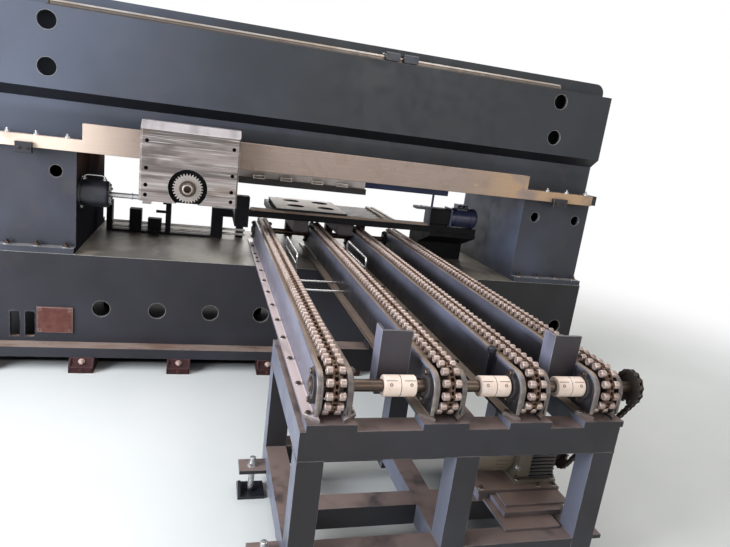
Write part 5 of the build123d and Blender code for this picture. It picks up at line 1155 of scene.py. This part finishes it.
# Gear unit: smooth panel and fins in front, bolts, plug and eye, and the motor's cowl and rings
gearing = Piece("cast_brown", "oily_steel", "bright_steel", "black_enamel")
cover = spot("-Y", 640, -1640, 318)
gearing.plate(raised(cover, -1, (-46, 8)), rectangle(54, 128, 6), 8, 1.5)
for index in range(9):
    gearing.plate(raised(cover, -1, (42, -56 + 16 * index)), rectangle(104, 6, 1.5), 12, 1.2, 3)
hex_bolt(gearing, spot("-Y", 572, -1640, 300), 6.0, 2, 2)
for x, depth in product((568, 730), (-1651, -1469)):
    hex_bolt(gearing, spot("Z", x, depth, 255), 5.5, 1, 2, stud=8)
gearing.turned(spot("Z", 610, OUTPUT_DEPTH, 402), ((11, -1), (11, 7), (9, 9)), 6, 2)
eye = [polar(16, i / 24) for i in range(-1, 14)]
gearing.pipe([(690 + dx, at(OUTPUT_DEPTH), 404 + dz) for dx, dz in eye], 4.2, 1)
for index in range(8):
    dy, dz = polar(48 * 0.62, (index + 0.5) / 8)
    cap_screw(gearing, spot("X", 752, OUTPUT_DEPTH + dy, OUTPUT_Z + dz), 2.4, 1, 3)
fan_end = spot("-X", 392, OUTPUT_DEPTH, MOTOR_Z)
for radius in (16, 25, 34, 43):
    rim = radius + 2.4
    gearing.sleeve(fan_end, ((rim, -0.5), (rim, 0.5), (radius, 0.5), (radius, -0.5)), 36, 3)
gearing.sleeve(spot("-X", 470, OUTPUT_DEPTH, MOTOR_Z), ((67.6, 0), (68.6, 0.8), (68.6, 5), (67.6, 6)), 40, 3)
cowl = spot("X", 398, OUTPUT_DEPTH, MOTOR_Z)
gearing.turned(cowl, ((67, 0), (71, 3), (72, 10), (72, 138), (71, 145), (67, 148)), 56)
gearing.make("gear_unit_details")

# Bolts of the gear unit's base
base_bolts = Piece("oily_steel", "bright_steel")
for x, depth in product((402, 656, 728), (-1674, -1446)):
    hex_bolt(base_bolts, spot("Z", x, depth, 237), 5.0, stud=6)
base_bolts.make("motor_base_bolts")

# Packing plates that step up from the front tube to the plate of the gear unit
packing = Piece("base_paint")
for low_x, high_x, front, back, low_z, high_z in (
    (418, 650, -1864, -1240, 185, 195),
    (446, 690, -1800, -1440, 195, 217),
    (466, 742, -1770, -1436, 217, 226),
):
    middle = spot("Z", (low_x + high_x) / 2, (front + back) / 2, low_z)
    packing.plate(middle, rectangle(high_x - low_x, back - front, 4), high_z - low_z, 1.0)
packing.make("gear_unit_packing")

# Feed motor: flange screws, bands and plugs of its leads
MOTOR_DEPTH, MOTOR_AXIS = 440.0, 1003
motor_x = box_mm("feed_motor")[0].x
feed_drive = Piece("black_enamel")
for dy, dz in product((-52, 52), (-52, 52)):
    cap_screw(feed_drive, spot("X", motor_x + 12, MOTOR_DEPTH + dy, MOTOR_AXIS + dz), 3.6, 0, 0)
for dx in (40, 160):
    band = spot("X", motor_x + dx, MOTOR_DEPTH, MOTOR_AXIS)
    feed_drive.sleeve(band, ((68, 0), (69.6, 0.8), (69.6, 3.2), (68, 4)), 44)
for dx in (78, 116):
    plug = spot("-Y", motor_x + dx, MOTOR_DEPTH - 36, 1084)
    feed_drive.turned(plug, ((12, -1), (12, 8), (13.5, 9), (13.5, 19), (11, 21), (11, 27), (9, 28)), 22)
feed_drive.make("feed_motor_details")

# Sunk screws of the feed plate
plate_screws = Piece("black_enamel")
for x, depth in product((-212, -172, 190, 230), (412, 444, 870, 930)):
    screw = spot("Z", x, depth, 962)
    plate_screws.turned(screw, ((6.5, -0.6), (6.5, 0.2), (5.2, 0.2), (3.4, -0.5), (0.4, -0.5)), 16)
plate_screws.make("feed_plate_screws", "feed")

# Screws of the bracket and of the feed rails
bracket = Piece("bright_steel", "black_enamel")
for depth in (416, 464):
    cap_screw(bracket, spot("Z", 805, depth, 1062), 3.6)
for x, depth in product((-380, -140, 100, 340, 580, 820), (422, 460)):
    screw = spot("Z", x, depth, 945)
    bracket.turned(screw, ((4.8, -0.4), (4.8, 0.2), (3.8, 0.2), (3.4, -0.3), (0.4, -0.3)), 14, 1)
bracket.make("feed_rail_screws")


def seen_directly(tree):
    """1 for rays of the camera, and for those that metal and glass show."""
    rays = tree.nodes.new("ShaderNodeLightPath")
    seen = rays.outputs["Is Camera Ray"]
    for kind in ("Is Glossy Ray", "Is Transmission Ray"):
        either = tree.nodes.new("ShaderNodeMath")
        either.operation = "MAXIMUM"
        tree.links.new(seen, either.inputs[0])
        tree.links.new(rays.outputs[kind], either.inputs[1])
        seen = either.outputs[0]
    return seen


def blend_into(tree, share, first, second, output):
    """Mixes two shaders into an output node."""
    mixer = tree.nodes.new("ShaderNodeMixShader")
    for value, socket in zip((share, first.outputs[0], second.outputs[0]), mixer.inputs):
        tree.links.new(value, socket)
    tree.links.new(mixer.outputs[0], tree.nodes[output].inputs["Surface"])


# Floor: pale paint that fades to white far out, and a painted shadow that darkens it under the bed and just
# behind it
FADE_NEAR, FADE_FAR, HALF_FLOOR = 2700, 5400, 30
floor_mesh = bpy.data.meshes.new("floor")
corners = [(x * HALF_FLOOR, y * HALF_FLOOR, 0) for x, y in ((-1, -1), (1, -1), (1, 1), (-1, 1))]
floor_mesh.from_pydata(corners, [], [(0, 1, 2, 3)])
floor = bpy.data.objects.new("floor", floor_mesh)
scene.collection.objects.link(floor)
s = Surface("floor_paint", (214, 215, 211), roughness=0.75, specular=0.2)
s.layer((206, 208, 203), 0.6, s.noise(900, 0.35, 0.65))
# Painted shadow under and just behind the bed
s.layer((22, 22, 24), 1.0, s.band("X", -2.0, -1.93), s.band("X", 2.0, 1.93),
        s.band("Y", at(24) * MM, at(60) * MM), s.band("Y", bed_back + 0.13, bed_back + 0.09))
s.done()
far = s.radial("XY", (0, 0), FADE_NEAR, FADE_FAR)
share = s.math("MULTIPLY", far, seen_directly(s.tree))
blend_into(s.tree, share, s.shader, s.node("Emission"), "Material Output")
floor_mesh.materials.append(s.material)

# World: soft bluish light, white where it is seen
world = bpy.data.worlds.new("studio")
scene.world = world
world.use_nodes = True
sky = world.node_tree
background = sky.nodes["Background"]
background.inputs["Color"].default_value = (0.82, 0.88, 1.0, 1.0)
background.inputs["Strength"].default_value = 0.36
white = sky.nodes.new("ShaderNodeBackground")
white.inputs["Color"].default_value = (1, 1, 1, 1)
white.inputs["Strength"].default_value = 1.0
blend_into(sky, seen_directly(sky), background, white, "World Output")

# Lamps: name, place and target in metres, size, watts, colour
for name, lamp_place, target, size, watts, colour in (
    ("key_left", (-5.0, -2.2, 2.7), (-0.2, -0.5, 0.9), (3.2, 2.6), 420, (0.86, 0.91, 1.0)),
    ("low_left", (-4.2, -3.6, 1.1), (0.4, -1.5, 0.5), (2.0, 1.4), 70, (0.88, 0.92, 1.0)),
    ("top", (0.3, 0.2, 5.2), (0.3, -0.2, 0.6), (5.0, 4.0), 170, (1.0, 0.97, 0.93)),
    ("front_fill", (2.4, -6.0, 2.6), (0.2, 0, 0.9), (3.0, 2.4), 60, (1.0, 0.95, 0.88)),
    ("back_fill", (1.5, 5.8, 3.2), (0, 0.5, 1.0), (4.0, 2.4), 190, (1.0, 0.98, 0.95)),
):
    data = bpy.data.lights.new(name, "AREA")
    data.shape = "RECTANGLE"
    data.size, data.size_y = size
    data.energy = watts
    data.color = colour
    lamp = bpy.data.objects.new(name, data)
    lamp.location = lamp_place
    lamp.rotation_euler = (Vector(target) - Vector(lamp_place)).to_track_quat("-Z", "Y").to_euler()
    lamp.visible_camera = False
    scene.collection.objects.link(lamp)

# Camera, fitted to the long straight edges of the photograph
CAMERA_PLACE, LENS = (-0.710, -3.119, 1.528), 28.72
yaw, pitch, roll = (math.radians(angle) for angle in (16.47, -13.64, 7.47))
ahead = Vector((math.sin(yaw) * math.cos(pitch), math.cos(yaw) * math.cos(pitch), math.sin(pitch)))
level = Vector((math.cos(yaw), -math.sin(yaw), 0))
upright = level.cross(ahead)
right = level * math.cos(roll) + upright * math.sin(roll)
up = upright * math.cos(roll) - level * math.sin(roll)
camera_data = bpy.data.cameras.new("camera")
camera_data.sensor_width = 36.0
camera_data.lens = LENS
camera = bpy.data.objects.new("camera", camera_data)
turn = Matrix((right, up, -ahead)).transposed().to_4x4()
camera.matrix_world = Matrix.Translation(CAMERA_PLACE) @ turn
scene.collection.objects.link(camera)
scene.camera = camera

scene.view_settings.view_transform = "Standard"

bpy.context.view_layer.update()
